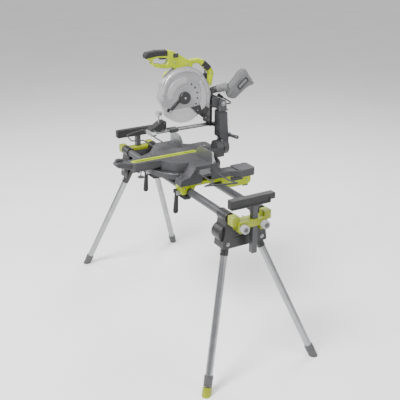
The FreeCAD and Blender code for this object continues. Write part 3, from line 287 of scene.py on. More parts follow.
LIME = (0.33, 0.415, 0.0)
# The darker copy of LIME below is painted shade: the carriers hanging under the rails and the levelling foot take it
# in place of the plain lime
LIME_SHADED = (0.24, 0.28, 0.004)
CHARCOAL = (0.046, 0.046, 0.05)
LOOK = {
    "dark_metal": painted("powder_coat_charcoal", (0.042, 0.043, 0.047), rough=0.42, peel=0.0014, coat=0.1),
    "black_plastic": moulded("moulding_black", (0.012, 0.012, 0.013), rough=0.5, worn=(0.09, 0.09, 0.09)),
    "lime_paint": painted("paint_lime", LIME, rough=0.4, worn=(0.42, 0.48, 0.06), coat=0.0, shine=0.22),
    "lime_plastic": moulded("moulding_lime", LIME, rough=0.33, grain=0.0007, depth=0.00003,
                            worn=(0.5, 0.58, 0.05), shine=0.22),
    # darker lime finish, painted shade standing in for the shadow under the rails
    "lime_block": moulded("moulding_lime_shaded", LIME_SHADED, rough=0.45, worn=(0.55, 0.58, 0.12)),
    "cast_grey": cast("casting_charcoal", CHARCOAL),
    "guard_grey": painted("paint_silver", (0.27, 0.27, 0.28), rough=0.42, metallic=0.25, worn=(0.7, 0.7, 0.7)),
    "housing_black": moulded("moulding_housing", (0.014, 0.014, 0.015), rough=0.4, grain=0.0014, depth=0.00009,
                             worn=(0.1, 0.1, 0.1)),
    "cap_grey": moulded("moulding_cap_grey", (0.07, 0.07, 0.073), rough=0.5, worn=(0.3, 0.3, 0.3)),
    "silver_tube": bare_metal("tube_bright", (0.37, 0.375, 0.385), 0.3, stretch=(1, 1, 0.12)),
    "steel": bare_metal("steel_zinc", (0.34, 0.34, 0.355), 0.36),
    "machined": bare_metal("aluminium_machined", (0.40, 0.405, 0.41), 0.34, stretch=(0.05, 1, 1)),
    "ground_rod": bare_metal("rod_ground", (0.17, 0.17, 0.175), 0.24, stretch=(1, 0.05, 1), line=0.0005),
    "blade_steel": bare_metal("blade_ground", (0.50, 0.50, 0.51), 0.3, stretch=(1, 1, 1), line=0.0007),
    "rubber": moulded("grip_rubber", (0.010, 0.010, 0.011), rough=0.72, grain=0.0012, depth=0.00012,
                      worn=(0.06, 0.06, 0.06)),
    # the light grey of the knobs below is a painted highlight, standing in for the shine on dark knobs
    "clear_knob": moulded("moulding_knob_highlight", (0.30, 0.305, 0.305), rough=0.26, grain=0.003, depth=0.00003,
                          worn=(0.6, 0.6, 0.6)),
    "copper_core": bare_metal("rotor_laminated", (0.42, 0.27, 0.18), 0.45, stretch=(8, 1, 1)),
    "bag_cloth": woven("cloth_grey", (0.15, 0.152, 0.155)),
    "cord_jacket": moulded("jacket_black", (0.02, 0.02, 0.021), rough=0.55, grain=0.0016, depth=0.00005,
                           worn=(0.06, 0.06, 0.06)),
    "label_dark": moulded("label_dark", (0.014, 0.0145, 0.016), rough=0.4, grain=0.004, depth=0.00001,
                          worn=(0.03, 0.03, 0.03)),
    "label_pale": moulded("label_pale", (0.15, 0.153, 0.157), rough=0.35, grain=0.004, depth=0.00001),
    "lens_red": moulded("lens_red", (0.35, 0.01, 0.01), rough=0.1, grain=0.004, depth=0.00001),
    "ink": moulded("scale_ink", (0.02, 0.02, 0.02), rough=0.4, grain=0.002, depth=0.00001),
}

# ---- materials on the CAD nodes ---------------------------------------------------------------
def coat(node, look, *patches):
    """Give a CAD node its finish. Each patch is (finish, test), where test takes a face's middle."""
    thing = nodes[node]
    thing.data.materials.clear()
    for name in (look, *(patch[0] for patch in patches)):
        thing.data.materials.append(LOOK[name])
    for face in thing.data.polygons:
        face.material_index = 0
        for index, (_, test) in enumerate(patches, 1):
            if test(face.center):
                face.material_index = index


PLAIN = {
    "dark_metal": ("rails", "cross_brace", "bevel_lever", "head_carriage"),
    "steel": ("leg_pivots", "saw_bolts", "front_foot"),
    "black_plastic": ("rail_caps", "lock_box", "laser_module", "dust_port", "guard_covers", "trigger",
                      "mitre_latch"),
    "housing_black": ("end_housing_right", "end_housing_left"),
    "lime_paint": ("saw_bracket_right", "saw_bracket_left", "motor_housing"),
    "lime_plastic": ("main_handle", "kerf_insert"),
    "cast_grey": ("saw_base", "turntable", "head_casting", "bevel_arm"),
    "guard_grey": ("upper_guard",),
    "machined": ("mitre_scale", "fence_right", "fence_left"),
    "ground_rod": ("slide_rods", "arbor_set"),
    # knobs in light grey: painted highlight in place of dark plastic
    "clear_knob": ("clamp_knob_right_front", "clamp_knob_right_rear", "clamp_knob_left_front",
                   "clamp_knob_left_rear", "slide_lock_knob"),
    "rubber": ("handle_grips", "bracket_lever_right", "bracket_lever_left", "cord_relief", "plug"),
    "blade_steel": ("blade", "lower_guard"),
    "copper_core": ("armature",),
    "cord_jacket": ("support_loop_right", "support_loop_left"),
    "bag_cloth": ("dust_bag",),
}
for look, group in PLAIN.items():
    for node in group:
        coat(node, look)


def leg_way(end, side):
    """(pivot, unit vector down the leg)."""
    pivot = Vector((end * 0.536, side * 0.066, 0.722))
    return pivot, (Vector((end * 0.778, side * 0.322, 0.0)) - pivot).normalized()


for end, hand in ((1, "right"), (-1, "left")):
    for side, place in ((-1, "front"), (1, "rear")):
        pivot, way = leg_way(end, side)

        def down(spot, pivot=pivot, way=way):
            return (spot - pivot).dot(way)

        def off(spot, pivot=pivot, way=way):
            return (spot - pivot - way * (spot - pivot).dot(way)).length

        coat("leg_%s_%s" % (hand, place), "silver_tube",
             ("housing_black", lambda spot: down(spot) < 0.1355 and off(spot) > 0.0184),
             ("cap_grey", lambda spot: down(spot) > 0.6 and off(spot) > 0.0184))
    # the carriers get the darker lime, painted shade for their place under the rails
    coat("support_carrier_" + hand, "lime_block",
         ("silver_tube", lambda spot: abs(spot.x) < ARM_BLOCK_X and
          math.hypot(abs(spot.y) - RAIL_Y, spot.z - RAIL_Z) < ARM_TUBE_R))
    coat("work_support_" + hand, "dark_metal",
         ("black_plastic", lambda spot: spot.z > 0.8645))
coat("levelling_foot", "lime_block", ("steel", lambda spot: spot.z > 0.0465))
coat("bracket_fittings", "black_plastic", ("steel", lambda spot: spot.y < -0.1371 and spot.z > 0.785))
coat("slide_rods", "ground_rod", ("machined", lambda spot: spot.y < -0.1439))

# ---- cord: lead, coil, tie and plug ------------------------------------------------------------
LEAD_POINTS = [(-8, 250, 362.5), (-8, 284, 341.3), (-22, 312, 324), (-54, 326, 309), (-94, 320, 300),
               (-126, 294, 300), (-140, 256, 311), (-135, 220, 329), (-115, 194, 352), (-95, 180, 384),
               (-88.5, 180, 420)]
COIL_Y, COIL_Z = 130.0, 420.0
COIL_INNER, COIL_OUTER = 42.0, 50.0    # the two layers' radii
PER_TURN = 18
# (layer radius, x) of each turn in winding order, and the turn at which each place is taken up
STATIONS = [(50.0, -88.5), (COIL_INNER, -79.5), (COIL_INNER, -71.0), (COIL_INNER, -62.5),
            (COIL_OUTER, -62.5), (COIL_OUTER, -71.0), (COIL_OUTER, -79.0)]
STEPS = [0.0, 1.0, 1.84, 2.67, 3.5, 4.34]
STEP_LENGTH = 0.16                     # share of a turn that each step from place to place takes


def smooth(value):
    value = min(max(value, 0.0), 1.0)
    return value * value * (3 - 2 * value)


def coil_points():
    """Turns of the coil, each stepping into the place that the last one left free."""
    points, turns = [], 5
    for i in range(1, turns * PER_TURN + 1):
        turn = i / PER_TURN
        radius, x = STATIONS[0]
        for (before, after), start in zip(zip(STATIONS, STATIONS[1:]), STEPS):
            share = smooth((turn - start) / STEP_LENGTH)
            radius += (after[0] - before[0]) * share
            x += (after[1] - before[1]) * share
        angle = 2 * math.pi * turn
        points.append((x, COIL_Y + radius * math.cos(angle), COIL_Z + radius * math.sin(angle)))
    return points


def nurbs(name, points, radius, look):
    data = bpy.data.curves.new(name, "CURVE")
    data.dimensions, data.bevel_depth, data.bevel_resolution, data.resolution_u = "3D", radius, 4, 6
    spline = data.splines.new("NURBS")
    spline.points.add(len(points) - 1)
    for knot, point in zip(spline.points, points):
        knot.co = (*point, 1)
    spline.order_u, spline.use_endpoint_u = 3, True
    data.use_fill_caps = True
    data.materials.append(LOOK[look])
    thing = bpy.data.objects.new(name, data)
    scene.collection.objects.link(thing)
    return thing


def mains_cord():
    tail = [(-79.0, 180, 434), (-79.0, 180, 450)]
    points = [at(*p) for p in LEAD_POINTS + coil_points() + tail]
    lead = nurbs("mains_cord", points, CORD_R, "cord_jacket")
    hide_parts("cord_lead", "cord_coil")
    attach(lead, "head")
    return lead


lead = mains_cord()

# ---- mesh helpers ---------------------------------------------------------------------------------
def piece(name, bm, look, body, smooth_shade=True):
    """Turn a bmesh into a named object with its finish, riding on a CAD body."""
    mesh = bpy.data.meshes.new(name)
    bmesh.ops.recalc_face_normals(bm, faces=bm.faces)
    bm.to_mesh(mesh)
    bm.free()
    for face in mesh.polygons:
        face.use_smooth = smooth_shade
    if smooth_shade:
        mesh.set_sharp_from_angle(angle=math.radians(38))
    mesh.materials.append(LOOK[look])
    thing = bpy.data.objects.new(name, mesh)
    scene.collection.objects.link(thing)
    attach(thing, body)
    return thing


def frame_on(origin, way, up=Vector((0, 0, 1))):
    """A matrix whose local Z points along way at origin."""
    z = way.normalized()
    x = up.cross(z) if abs(up.dot(z)) < 0.98 else Vector((0, 1, 0)).cross(z)
    x.normalize()
    y = z.cross(x)
    turn = Matrix((x, y, z)).transposed().to_4x4()
    return Matrix.Translation(origin) @ turn


def lathe(bm, place, profile, segments=32):
    """Spin (radius, height) pairs about local Z and add the shell to bm."""
    rings = []
    for radius, height in profile:
        if radius < 1e-6:
            rings.append([bm.verts.new(place @ Vector((0, 0, height)))])
            continue
        ring = []
        for i in range(segments):
            angle = 2 * math.pi * i / segments
            spot = Vector((radius * math.cos(angle), radius * math.sin(angle), height))
            ring.append(bm.verts.new(place @ spot))
        rings.append(ring)
    for low, high in zip(rings, rings[1:]):
        for i in range(segments):
            j = (i + 1) % segments
            if len(low) == 1 and len(high) == 1:
                continue
            if len(low) == 1:
                bm.faces.new((low[0], high[i], high[j]))
            elif len(high) == 1:
                bm.faces.new((low[i], low[j], high[0]))
            else:
                bm.faces.new((low[i], low[j], high[j], high[i]))


def slab(bm, place, outline, low, high, inset=0.0):
    """A plate with that local outline between two heights, its top edge chamfered by inset."""
    middle = Vector((sum(p[0] for p in outline) / len(outline), sum(p[1] for p in outline) / len(outline)))

    def ring(height, shrink):
        made = []
        for x, y in outline:
            point = Vector((x, y))
            reach = (point - middle).length
            point = middle + (point - middle) * (max(reach - shrink, 0) / reach if reach else 0)
            made.append(bm.verts.new(place @ Vector((point.x, point.y, height))))
        return made

    rings = [ring(low, 0), ring(high - inset, 0), ring(high, inset)]
    for lower, upper in zip(rings, rings[1:]):
        for i in range(len(lower)):
            j = (i + 1) % len(lower)
            bm.faces.new((lower[i], lower[j], upper[j], upper[i]))
    bm.faces.new(list(reversed(rings[0])))
    bm.faces.new(rings[-1])


def rounded_rectangle(width, height, radius, steps=5):
    points = []
    for cx, cy, start in ((1, 1, 0), (-1, 1, 90), (-1, -1, 180), (1, -1, 270)):
        for i in range(steps + 1):
            angle = math.radians(start + 90 * i / steps)
            points.append((cx * (width / 2 - radius) + radius * math.cos(angle),
                           cy * (height / 2 - radius) + radius * math.sin(angle)))
    return points


def screws(name, places, body, radius=0.004, look="steel"):
    """Pan-head screws with a cross recess, each at (point, outward direction)."""
    bm = bmesh.new()
    random.seed(name)
    for point, way in places:
        place = frame_on(point, way) @ Matrix.Rotation(random.uniform(0, 1.5), 4, "Z")
        rise = radius * 0.55
        lathe(bm, place, [(radius * 1.02, -0.0006), (radius, rise * 0.35), (radius * 0.86, rise * 0.75),
                          (radius * 0.55, rise), (radius * 0.5, rise)], 24)
        arm, half = radius * 0.5, radius * 0.15
        cross = [(arm, half), (half, half), (half, arm), (-half, arm), (-half, half), (-arm, half), (-arm, -half),
                 (-half, -half), (-half, -arm), (half, -arm), (half, -half), (arm, -half)]
        rim = [bm.verts.new(place @ Vector((x, y, rise))) for x, y in cross]
        deep = [bm.verts.new(place @ Vector((x * 0.7, y * 0.7, rise * 0.35))) for x, y in cross]
        for i in range(len(cross)):
            j = (i + 1) % len(cross)
            bm.faces.new((rim[i], rim[j], deep[j], deep[i]))
        bm.faces.new(list(reversed(deep)))
        ring = [bm.verts.new(place @ Vector((radius * 0.5 * math.cos(2 * math.pi * k / 24),
                                             radius * 0.5 * math.sin(2 * math.pi * k / 24), rise))) for k in range(24)]
        edges = [bm.edges.new((ring[k], ring[(k + 1) % 24])) for k in range(24)]
        edges += [bm.edges.get((rim[k], rim[(k + 1) % 12])) for k in range(12)]
        bmesh.ops.triangle_fill(bm, edges=edges, use_beauty=True)
    bmesh.ops.remove_doubles(bm, verts=bm.verts, dist=0.00001)
    thing = piece(name, bm, look, body)
    return thing


def hex_heads(name, places, body, across=0.013, rise=0.006, look="steel"):
    """Hexagon bolt heads with a washer face and a rounded crown."""
    bm = bmesh.new()
    for point, way in places:
        place = frame_on(point, way)
        lathe(bm, place, [(across * 0.82, 0), (across * 0.82, 0.0012), (across * 0.5, 0.0014)], 28)
        outline = [(across / 1.732 * math.cos(math.radians(60 * k)), across / 1.732 * math.sin(math.radians(60 * k)))
                   for k in range(6)]
        slab(bm, place, outline, 0.0010, rise, across * 0.07)
    thing = piece(name, bm, look, body)
    return thing


def wire(name, points, radius, look, body, closed=False):
    """Round wire or piping along a smooth curve, as a mesh."""
    data = bpy.data.curves.new(name + "_line", "CURVE")
    data.dimensions, data.bevel_depth, data.bevel_resolution, data.resolution_u = "3D", radius, 3, 5
    spline = data.splines.new("NURBS")
    spline.points.add(len(points) - 1)
    for knot, point in zip(spline.points, points):
        knot.co = (*point, 1)
    spline.order_u, spline.use_cyclic_u = 3, closed
    spline.use_endpoint_u = not closed
    data.use_fill_caps = True
    line = bpy.data.objects.new(name + "_line", data)
    scene.collection.objects.link(line)
    bpy.context.view_layer.update()
    mesh = bpy.data.meshes.new_from_object(line.evaluated_get(bpy.context.evaluated_depsgraph_get()))
    bpy.data.objects.remove(line)
    mesh.name = name
    mesh.materials.clear()
    mesh.materials.append(LOOK[look])
    thing = bpy.data.objects.new(name, mesh)
    scene.collection.objects.link(thing)
    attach(thing, body)
    return thing


# ---- details on the saw's head ------------------------------------------------------------------
RIGHT, LEFT, FRONT, BACK, UP = (Vector((1, 0, 0)), Vector((-1, 0, 0)), Vector((0, -1, 0)), Vector((0, 1, 0)),
                                Vector((0, 0, 1)))
GUARD_FACE = 20.0                      # the guard's outer face along X
GUARD_EDGE = [(-142, 394), (-136, 440), (-118, 490), (-86, 528), (-44, 550), (0, 556), (44, 552), (84, 536),
              (116, 505), (138, 462), (152, 420), (156, 392), (152, 352)]


def on_side(bm, outline, face, rise, inset, way=RIGHT):
    """A raised plate on a face square to X, with its outline as (y, z) in the saw's frame."""
    place = Matrix.Translation(at(face, 0, 0)) @ Matrix(((0, 0, way.x), (way.x, 0, 0), (0, 1, 0))).to_4x4()
    slab(bm, place, [(way.x * y / 1000, z / 1000) for y, z in outline], -0.0004, rise / 1000, inset / 1000)


def guard_face():
    """Raised rim round the guard, and the stepped panel at its rear."""
    bm = bmesh.new()
    centre = Vector(ARBOR) * 1000
    spots = [Vector(p) for p in GUARD_EDGE]
    outer = [centre + (spot - centre) * 0.955 for spot in spots]
    inner = [centre + (spot - centre) * 0.835 for spot in spots]
    fine_outer, fine_inner = round_off(outer), round_off(inner)
    place = Matrix.Translation(at(GUARD_FACE, 0, 0)) @ Matrix(((0, 0, 1), (1, 0, 0), (0, 1, 0))).to_4x4()
    rows = []
    for a, b in zip(fine_outer, fine_inner):
        across = [a, a + (b - a) * 0.16, a + (b - a) * 0.84, b]
        rows.append([bm.verts.new(place @ Vector((p.x / 1000, p.y / 1000, h)))
                     for p, h in zip(across, (-0.0004, 0.0035, 0.0035, -0.0004))])
    for one, other in zip(rows, rows[1:]):
        for k in range(3):
            bm.faces.new((one[k], one[k + 1], other[k + 1], other[k]))
    for row in (rows[0], rows[-1]):
        bm.faces.new(row)
    rim = piece("guard_rim", bm, "guard_light", "head")
    bm = bmesh.new()
    on_side(bm, [(98, 478), (122, 440), (132, 398), (128, 352), (112, 318), (98, 322), (90, 346), (100, 392),
                 (96, 436), (84, 470)], GUARD_FACE, 6.0, 3.0)
    panel = piece("guard_rear_panel", bm, "guard_light", "head")
    bm = bmesh.new()
    on_side(bm, [(-100, 420), (-92, 452), (-66, 484), (-30, 502), (8, 506), (20, 494), (14, 474), (-20, 468),
                 (-48, 452), (-66, 428), (-72, 402), (-88, 396)], GUARD_FACE, 2.4, 1.4)
    step = piece("guard_front_panel", bm, "guard_light", "head")


def round_off(points, steps=6):
    """Points along a smooth curve through the given ones."""
    made = []
    last = len(points) - 1
    for i in range(last):
        p0, p1, p2, p3 = points[max(i - 1, 0)], points[i], points[i + 1], points[min(i + 2, last)]
        for k in range(steps):
            t = k / steps
            made.append(0.5 * (2 * p1 + (p2 - p0) * t + (2 * p0 - 5 * p1 + 4 * p2 - p3) * t * t
                               + (3 * p1 - p0 - 3 * p2 + p3) * t ** 3))
    made.append(points[-1])
    return made


def motor_details():
    """Cooling slots, band and brush caps on the motor can, whose outer end faces -X."""
    middle = Vector(MOTOR) * 1000
    end = at(-186, middle.x, middle.y)
    bm = bmesh.new()
    lathe(bm, frame_on(end, LEFT), [(0.030, -0.0008), (0.030, 0.0016), (0.028, 0.0026), (0.012, 0.0026),
                                    (0.010, 0.0016), (0, 0.0016)], 48)
    piece("motor_end_cap", bm, "black_plastic", "head")
    bm = bmesh.new()
    for k in range(16):
        turn = (frame_on(end, LEFT) @ Matrix.Rotation(2 * math.pi * k / 16, 4, "Z")
                @ Matrix.Translation((0.0205, 0, 0)))
        slab(bm, turn, rounded_rectangle(0.013, 0.0032, 0.0015, 3), 0.0022, 0.0034, 0.0006)
    piece("motor_louvres", bm, "rubber", "head")
    bm = bmesh.new()
    lathe(bm, frame_on(at(-84, middle.x, middle.y), RIGHT),
          [(0.0415, 0), (0.0436, 0.0008), (0.0442, 0.003), (0.0442, 0.012), (0.0436, 0.0142),
           (0.0415, 0.015)], 64)
    piece("motor_band", bm, "black_plastic", "head")
    bm = bmesh.new()
    for way in (FRONT, BACK):
        spot = at(-150, middle.x, middle.y) + way * 0.0405
        lathe(bm, frame_on(spot, way), [(0.0095, 0), (0.0095, 0.004), (0.0085, 0.005), (0.005, 0.005),
                                        (0.0045, 0.0038), (0, 0.0038)], 28)
    piece("brush_caps", bm, "black_plastic", "head")
    screws("motor_screws", [(at(-186, middle.x + 35 * math.cos(a), middle.y + 35 * math.sin(a)) + RIGHT * 0.0006, LEFT)
                            for a in (0.8, 2.35, 3.9, 5.5)], "head", 0.0026)


def head_details():
    screws("guard_screws", [(at(GUARD_FACE + 3.3, y, z), RIGHT) for y, z in
                            ((-124, 424), (-84, 505), (6, 535), (98, 500), (138, 404))], "head", 0.0042)
    screws("hub_screws", [(at(34, 0, 397), RIGHT)], "head", 0.0065)
    hex_heads("link_bolt", [(at(27.4, -86, 335), RIGHT)], "head", 0.011, 0.005)
    screws("deflector_screws", [(at(25, 76, 322), RIGHT), (at(25, 120, 318), RIGHT)], "head", 0.0034)
    screws("handle_screws", [(at(15.8, y, z), RIGHT) for y, z in ((-52, 584), (20, 566))]
           + [(at(-19.8, y, z), LEFT) for y, z in ((-52, 584), (20, 566), (-50, 625))]
           + [(at(11.8, 120, 545), RIGHT), (at(11.8, 168, 505), RIGHT), (at(11.8, 160, 452), RIGHT)],
           "head", 0.0036)
    bm = bmesh.new()
    badge = rounded_rectangle(0.030, 0.022, 0.004)
    on_side(bm, [(-46 + 1000 * x, 618 + 1000 * z) for x, z in badge], 15.8, 0.9, 0.5)
    piece("handle_badge_blank", bm, "label_dark", "head")
    bm = bmesh.new()
    lathe(bm, frame_on(at(-20, -66, 628), LEFT),
          [(0.009, -0.001), (0.009, 0.003), (0.007, 0.0042), (0, 0.0046)], 32)
    piece("lock_off_button", bm, "rubber", "head")
    bm = bmesh.new()
    lathe(bm, frame_on(at(40, 116, 262.3), -UP),
          [(0.0075, -0.001), (0.0075, 0.0012), (0.0055, 0.0016), (0.0045, 0.0002), (0, -0.0002)], 32)
    piece("laser_lens", bm, "lens_red", "head")
    screws("laser_screws", [(at(54, 110, 284), RIGHT), (at(54, 122, 270), RIGHT)], "head", 0.0024)
    hex_heads("hinge_nuts", [(at(32, 230, 340), RIGHT), (at(-102.5, 230, 340), LEFT)],
              "slide_carriage", 0.017, 0.007)
    screws("lock_box_screws", [(at(-62, -140, 222), RIGHT), (at(-62, -76, 250), RIGHT)],
           "slide_carriage", 0.0028)
    bm = bmesh.new()
    for k in range(7):
        place = Matrix.Translation(at(-82, -159 + k * 4.6, 216.6))
        slab(bm, place, rounded_rectangle(0.058, 0.0022, 0.001, 3), -0.0004, 0.0022, 0.0006)
    piece("rod_block_ribs", bm, "machined", "slide_carriage")
    bm = bmesh.new()
    for x in (-68, -94):
        for y, way in ((-42, FRONT), (2, BACK)):
            lathe(bm, frame_on(at(x, y, 204), way), [(0.0072, 0.004), (0.0095, 0.0036), (0.0112, 0.0018),
                                                     (0.0114, -0.0004)], 36)
    piece("rod_wipers", bm, "rubber", "bevel_arm")


def base_details():
    """Scale marks, mounting screws and plain labels on the table, base and bevel housing."""
    bm = bmesh.new()
    for degree in range(-50, 51):
        long = 0.013 if degree % 15 == 0 else 0.009 if degree % 5 == 0 else 0.005
        angle = math.radians(-90 + degree)
        spot = at(1000 * 0.183 * math.cos(angle), 1000 * 0.183 * math.sin(angle), 42)
        place = (Matrix.Translation(spot) @ Matrix.Rotation(angle, 4, "Z")
                 @ Matrix.Translation((-long / 2, 0, 0)))
        wide = 0.0009 if degree % 5 else 0.0014
        slab(bm, place, rounded_rectangle(long, wide, 0.0002, 1), -0.0002, 0.00035)
    piece("mitre_scale_marks", bm, "ink", "saw_mount", False)
    bm = bmesh.new()
    slab(bm, Matrix.Translation(at(0, -172, 43.2)), [(-0.008, 0.006), (0, -0.008), (0.008, 0.006)],
         0, 0.0016, 0.0004)
    piece("mitre_pointer", bm, "lens_red", "saw_mount", False)
    screws("insert_screws", [(at(x, y, 91.8), UP) for x in (14.2, -11.5) for y in (-262, -120, 20)],
           "turntable", 0.0026)
    screws("scale_screws", [(at(184 * math.cos(a), 184 * math.sin(a), 41.9), UP)
                            for a in (math.radians(-142), math.radians(-38))], "saw_mount", 0.003)
    hex_heads("fence_bolts", [(at(x, 60, 92.3), UP) for x in (120, 190)], "saw_mount", 0.010, 0.004)
    hex_heads("bevel_stop_bolts", [(at(x, 236.6, z), FRONT) for x, z in ((-30, 124), (14, 128))],
              "bevel_arm", 0.010, 0.006)
    hex_heads("bevel_pivot_bolt", [(at(0, 270, 92), BACK)], "bevel_arm", 0.020, 0.008)
    bm = bmesh.new()
    for degree in range(-50, 51, 5):
        angle = math.radians(90 + degree)
        spot = at(37 * math.cos(angle), 231.5, 92 + 37 * math.sin(angle))
        radial = Vector((math.cos(angle), 0, math.sin(angle)))
        place = frame_on(spot + radial * 0.003, radial, BACK)
        tall = 0.005 if degree % 15 else 0.008
        slab(bm, place, rounded_rectangle(0.0009, tall, 0.0002, 1), -0.0002, 0.0004)
    piece("bevel_scale_marks", bm, "label_pale", "turntable", False)
    bm = bmesh.new()
    for side, way in ((1, RIGHT), (-1, LEFT)):
        on_side(bm, [(0 + 1000 * x, 58 + 1000 * z) for x, z in rounded_rectangle(0.066, 0.030, 0.004)], side * 232,
                0.7, 0.3, way)
    piece("base_label_blanks", bm, "label_pale", "saw_mount", False)


def stand_details():
    """Fixings, buttons, foot ribs and plain labels on the stand."""
    bm = bmesh.new()
    for end, way in ((1, RIGHT), (-1, LEFT)):
        face = end * 0.210
        place = Matrix.Translation((face, 0, 0)) @ Matrix(((0, 0, way.x), (way.x, 0, 0), (0, 1, 0))).to_4x4()
        outline = [(way.x * (0.196 + x), 0.822 + z) for x, z in rounded_rectangle(0.078, 0.026, 0.004)]
        slab(bm, place, outline, -0.0003, 0.0008, 0.0004)
    piece("bracket_label_blanks", bm, "label_dark", "saw_mount", False)
    rivets = [(Vector((end * 0.210, y, z)), way) for end, way in ((1, RIGHT), (-1, LEFT))
              for y, z in ((-0.118, 0.822), (-0.03, 0.836), (0.05, 0.836), (0.262, 0.800))]
    screws("bracket_rivets", rivets, "saw_mount", 0.0045)
    hex_heads("housing_bolts", [(Vector((end * 0.594, side * y, z)), way) for end, way in ((1, RIGHT), (-1, LEFT))
                                for side in (-1, 1) for y, z in ((0.098, 0.664), (0.045, 0.770))],
              "stand_frame", 0.012)
    bm = bmesh.new()
    for end, way in ((1, RIGHT), (-1, LEFT)):
        for k in range(4):
            place = frame_on(Vector((end * 0.594, 0, 0.690 + 0.018 * k)), way)
            slab(bm, place, rounded_rectangle(0.15 - 0.006 * k, 0.005, 0.002), -0.0006, 0.0024, 0.001)
    piece("housing_ribs", bm, "housing_black", "stand_frame")
    for end, hand in ((1, "right"), (-1, "left")):
        for side, place_name in ((-1, "front"), (1, "rear")):
            pivot, way = leg_way(end, side)
            body = "leg_%s_%s" % (hand, place_name)
            out = (Vector((0, side, 0)) - way * way.dot(Vector((0, side, 0)))).normalized()
            bm = bmesh.new()
            lathe(bm, frame_on(pivot + way * 0.118 + out * 0.0198, out),
                  [(0.0055, -0.001), (0.0055, 0.0022), (0.0042, 0.0038), (0, 0.0044)], 24)
            lathe(bm, frame_on(pivot + way * 0.118 - out * 0.0198, -out),
                  [(0.0055, -0.001), (0.0055, 0.0022), (0.0042, 0.0038), (0, 0.0044)], 24)
            piece(body + "_button", bm, "steel", body)
            bm = bmesh.new()
            count = 2 if (end, side) == (1, -1) else 4
            start = 0.716 if (end, side) == (1, -1) else 0.742
            for k in range(count):
                lathe(bm, frame_on(pivot + way * (start + 0.009 * k), way),
                      [(0.0212, -0.0016), (0.0226, -0.0010), (0.0230, 0.0), (0.0226, 0.0010),
                       (0.0212, 0.0016)], 48)
            piece(body + "_foot_ribs", bm, "cap_grey", body)
        bm = bmesh.new()
        for place in (Vector((end * 0.640, -0.1212, 0.888)), Vector((end * 0.640, 0.0972, 0.872))):
            away = FRONT if place.y < 0 else BACK
            slab(bm, frame_on(place, away), rounded_rectangle(0.032, 0.040 if place.y < 0 else 0.014, 0.004),
                 -0.0006, 0.0016, 0.0008)
        piece("support_caps_" + hand, bm, "rubber", "work_support_" + hand)
        for side, place_name in ((-1, "front"), (1, "rear")):
            spot = Vector((end * 0.6865, side * 0.058, 0.766))
            bm = bmesh.new()
            lathe(bm, frame_on(spot, RIGHT * end), [(0.0115, -0.001), (0.0115, 0.0014), (0.0098, 0.0022),
                                                    (0.004, 0.0016), (0, 0.0016)], 36)
            body = "clamp_knob_%s_%s" % (hand, place_name)
            piece(body + "_cap", bm, "cap_grey", body)


LOOK["guard_light"] = painted("paint_silver_light", (0.34, 0.34, 0.35), rough=0.36, metallic=0.25,
                              worn=(0.7, 0.7, 0.7))
guard_face()
motor_details()
head_details()
base_details()
stand_details()

# ---- dust bag -------------------------------------------------------------------------------------
BAG_X = 32.0                           # the bag's middle plane
BAG_HALF = 13.0                        # half its thickness before it is filled
BAG_VOXEL = 0.0045                     # cloth resolution
BAG_SWELL, BAG_PULL = 0.010, 0.003     # how far a point may move sideways, and along the bag's flat
BAG_OUTLINE = [(236, 421), (328, 514), (362, 516), (422, 430), (372, 408), (296, 357), (254, 373)]
BAG_MIDDLE = (332.0, 440.0)
SPOUT_FROM, SPOUT_TO = at(-2, 188, 413), at(26, 236, 428)


def sewn_shell():
    """The bag as cut and sewn: its outline with rounded corners, closed on both sides."""
    corners = [Vector(p) for p in BAG_OUTLINE]
    outline = []
    for i, corner in enumerate(corners):
        before, after = corners[i - 1], corners[(i + 1) % len(corners)]
        reach = 13.0
        a, b = corner + (before - corner).normalized() * reach, corner + (after - corner).normalized() * reach
        for k in range(6):
            t = k / 5
            outline.append(a * (1 - t) ** 2 + corner * 2 * t * (1 - t) + b * t * t)
    bm = bmesh.new()
    near = [bm.verts.new(at(BAG_X - BAG_HALF, p.x, p.y)) for p in outline]
    far = [bm.verts.new(at(BAG_X + BAG_HALF, p.x, p.y)) for p in outline]
    for i in range(len(outline)):
        j = (i + 1) % len(outline)
        bm.faces.new((near[i], near[j], far[j], far[i]))
    bm.faces.new(list(reversed(near)))
    bm.faces.new(far)
    return piece("dust_bag_cloth", bm, "bag_cloth", "dust_bag")


def settle(thing):
    """Replace the object's mesh by what its modifiers make of it."""
    bpy.context.view_layer.update()
    mesh = bpy.data.meshes.new_from_object(thing.evaluated_get(bpy.context.evaluated_depsgraph_get()))
    thing.modifiers.clear()
    thing.data = mesh


def inflate(thing):
    """Fill the bag by cloth simulation, with each point's travel capped."""
    remesh = thing.modifiers.new("remesh", "REMESH")
    remesh.mode, remesh.voxel_size = "VOXEL", BAG_VOXEL
    settle(thing)
    start = [v.co.copy() for v in thing.data.vertices]
    cloth = thing.modifiers.new("cloth", "CLOTH")
    cloth.settings.quality = 6
    cloth.settings.use_pressure, cloth.settings.uniform_pressure_force = True, 4.0
    cloth.settings.effector_weights.gravity = 0.0
    cloth.settings.tension_stiffness = cloth.settings.compression_stiffness = 12.0
    cloth.settings.bending_stiffness = 0.6
    for step in range(1, 21):
        scene.frame_set(step)
    settle(thing)
    scene.frame_set(1)
    for vertex, home in zip(thing.data.vertices, start):
        way = vertex.co - home
        flat = Vector((0, way.y, way.z))
        if flat.length > BAG_PULL:
            flat *= BAG_PULL / flat.length
        vertex.co = home + flat + RIGHT * min(max(way.x, -BAG_SWELL), BAG_SWELL)


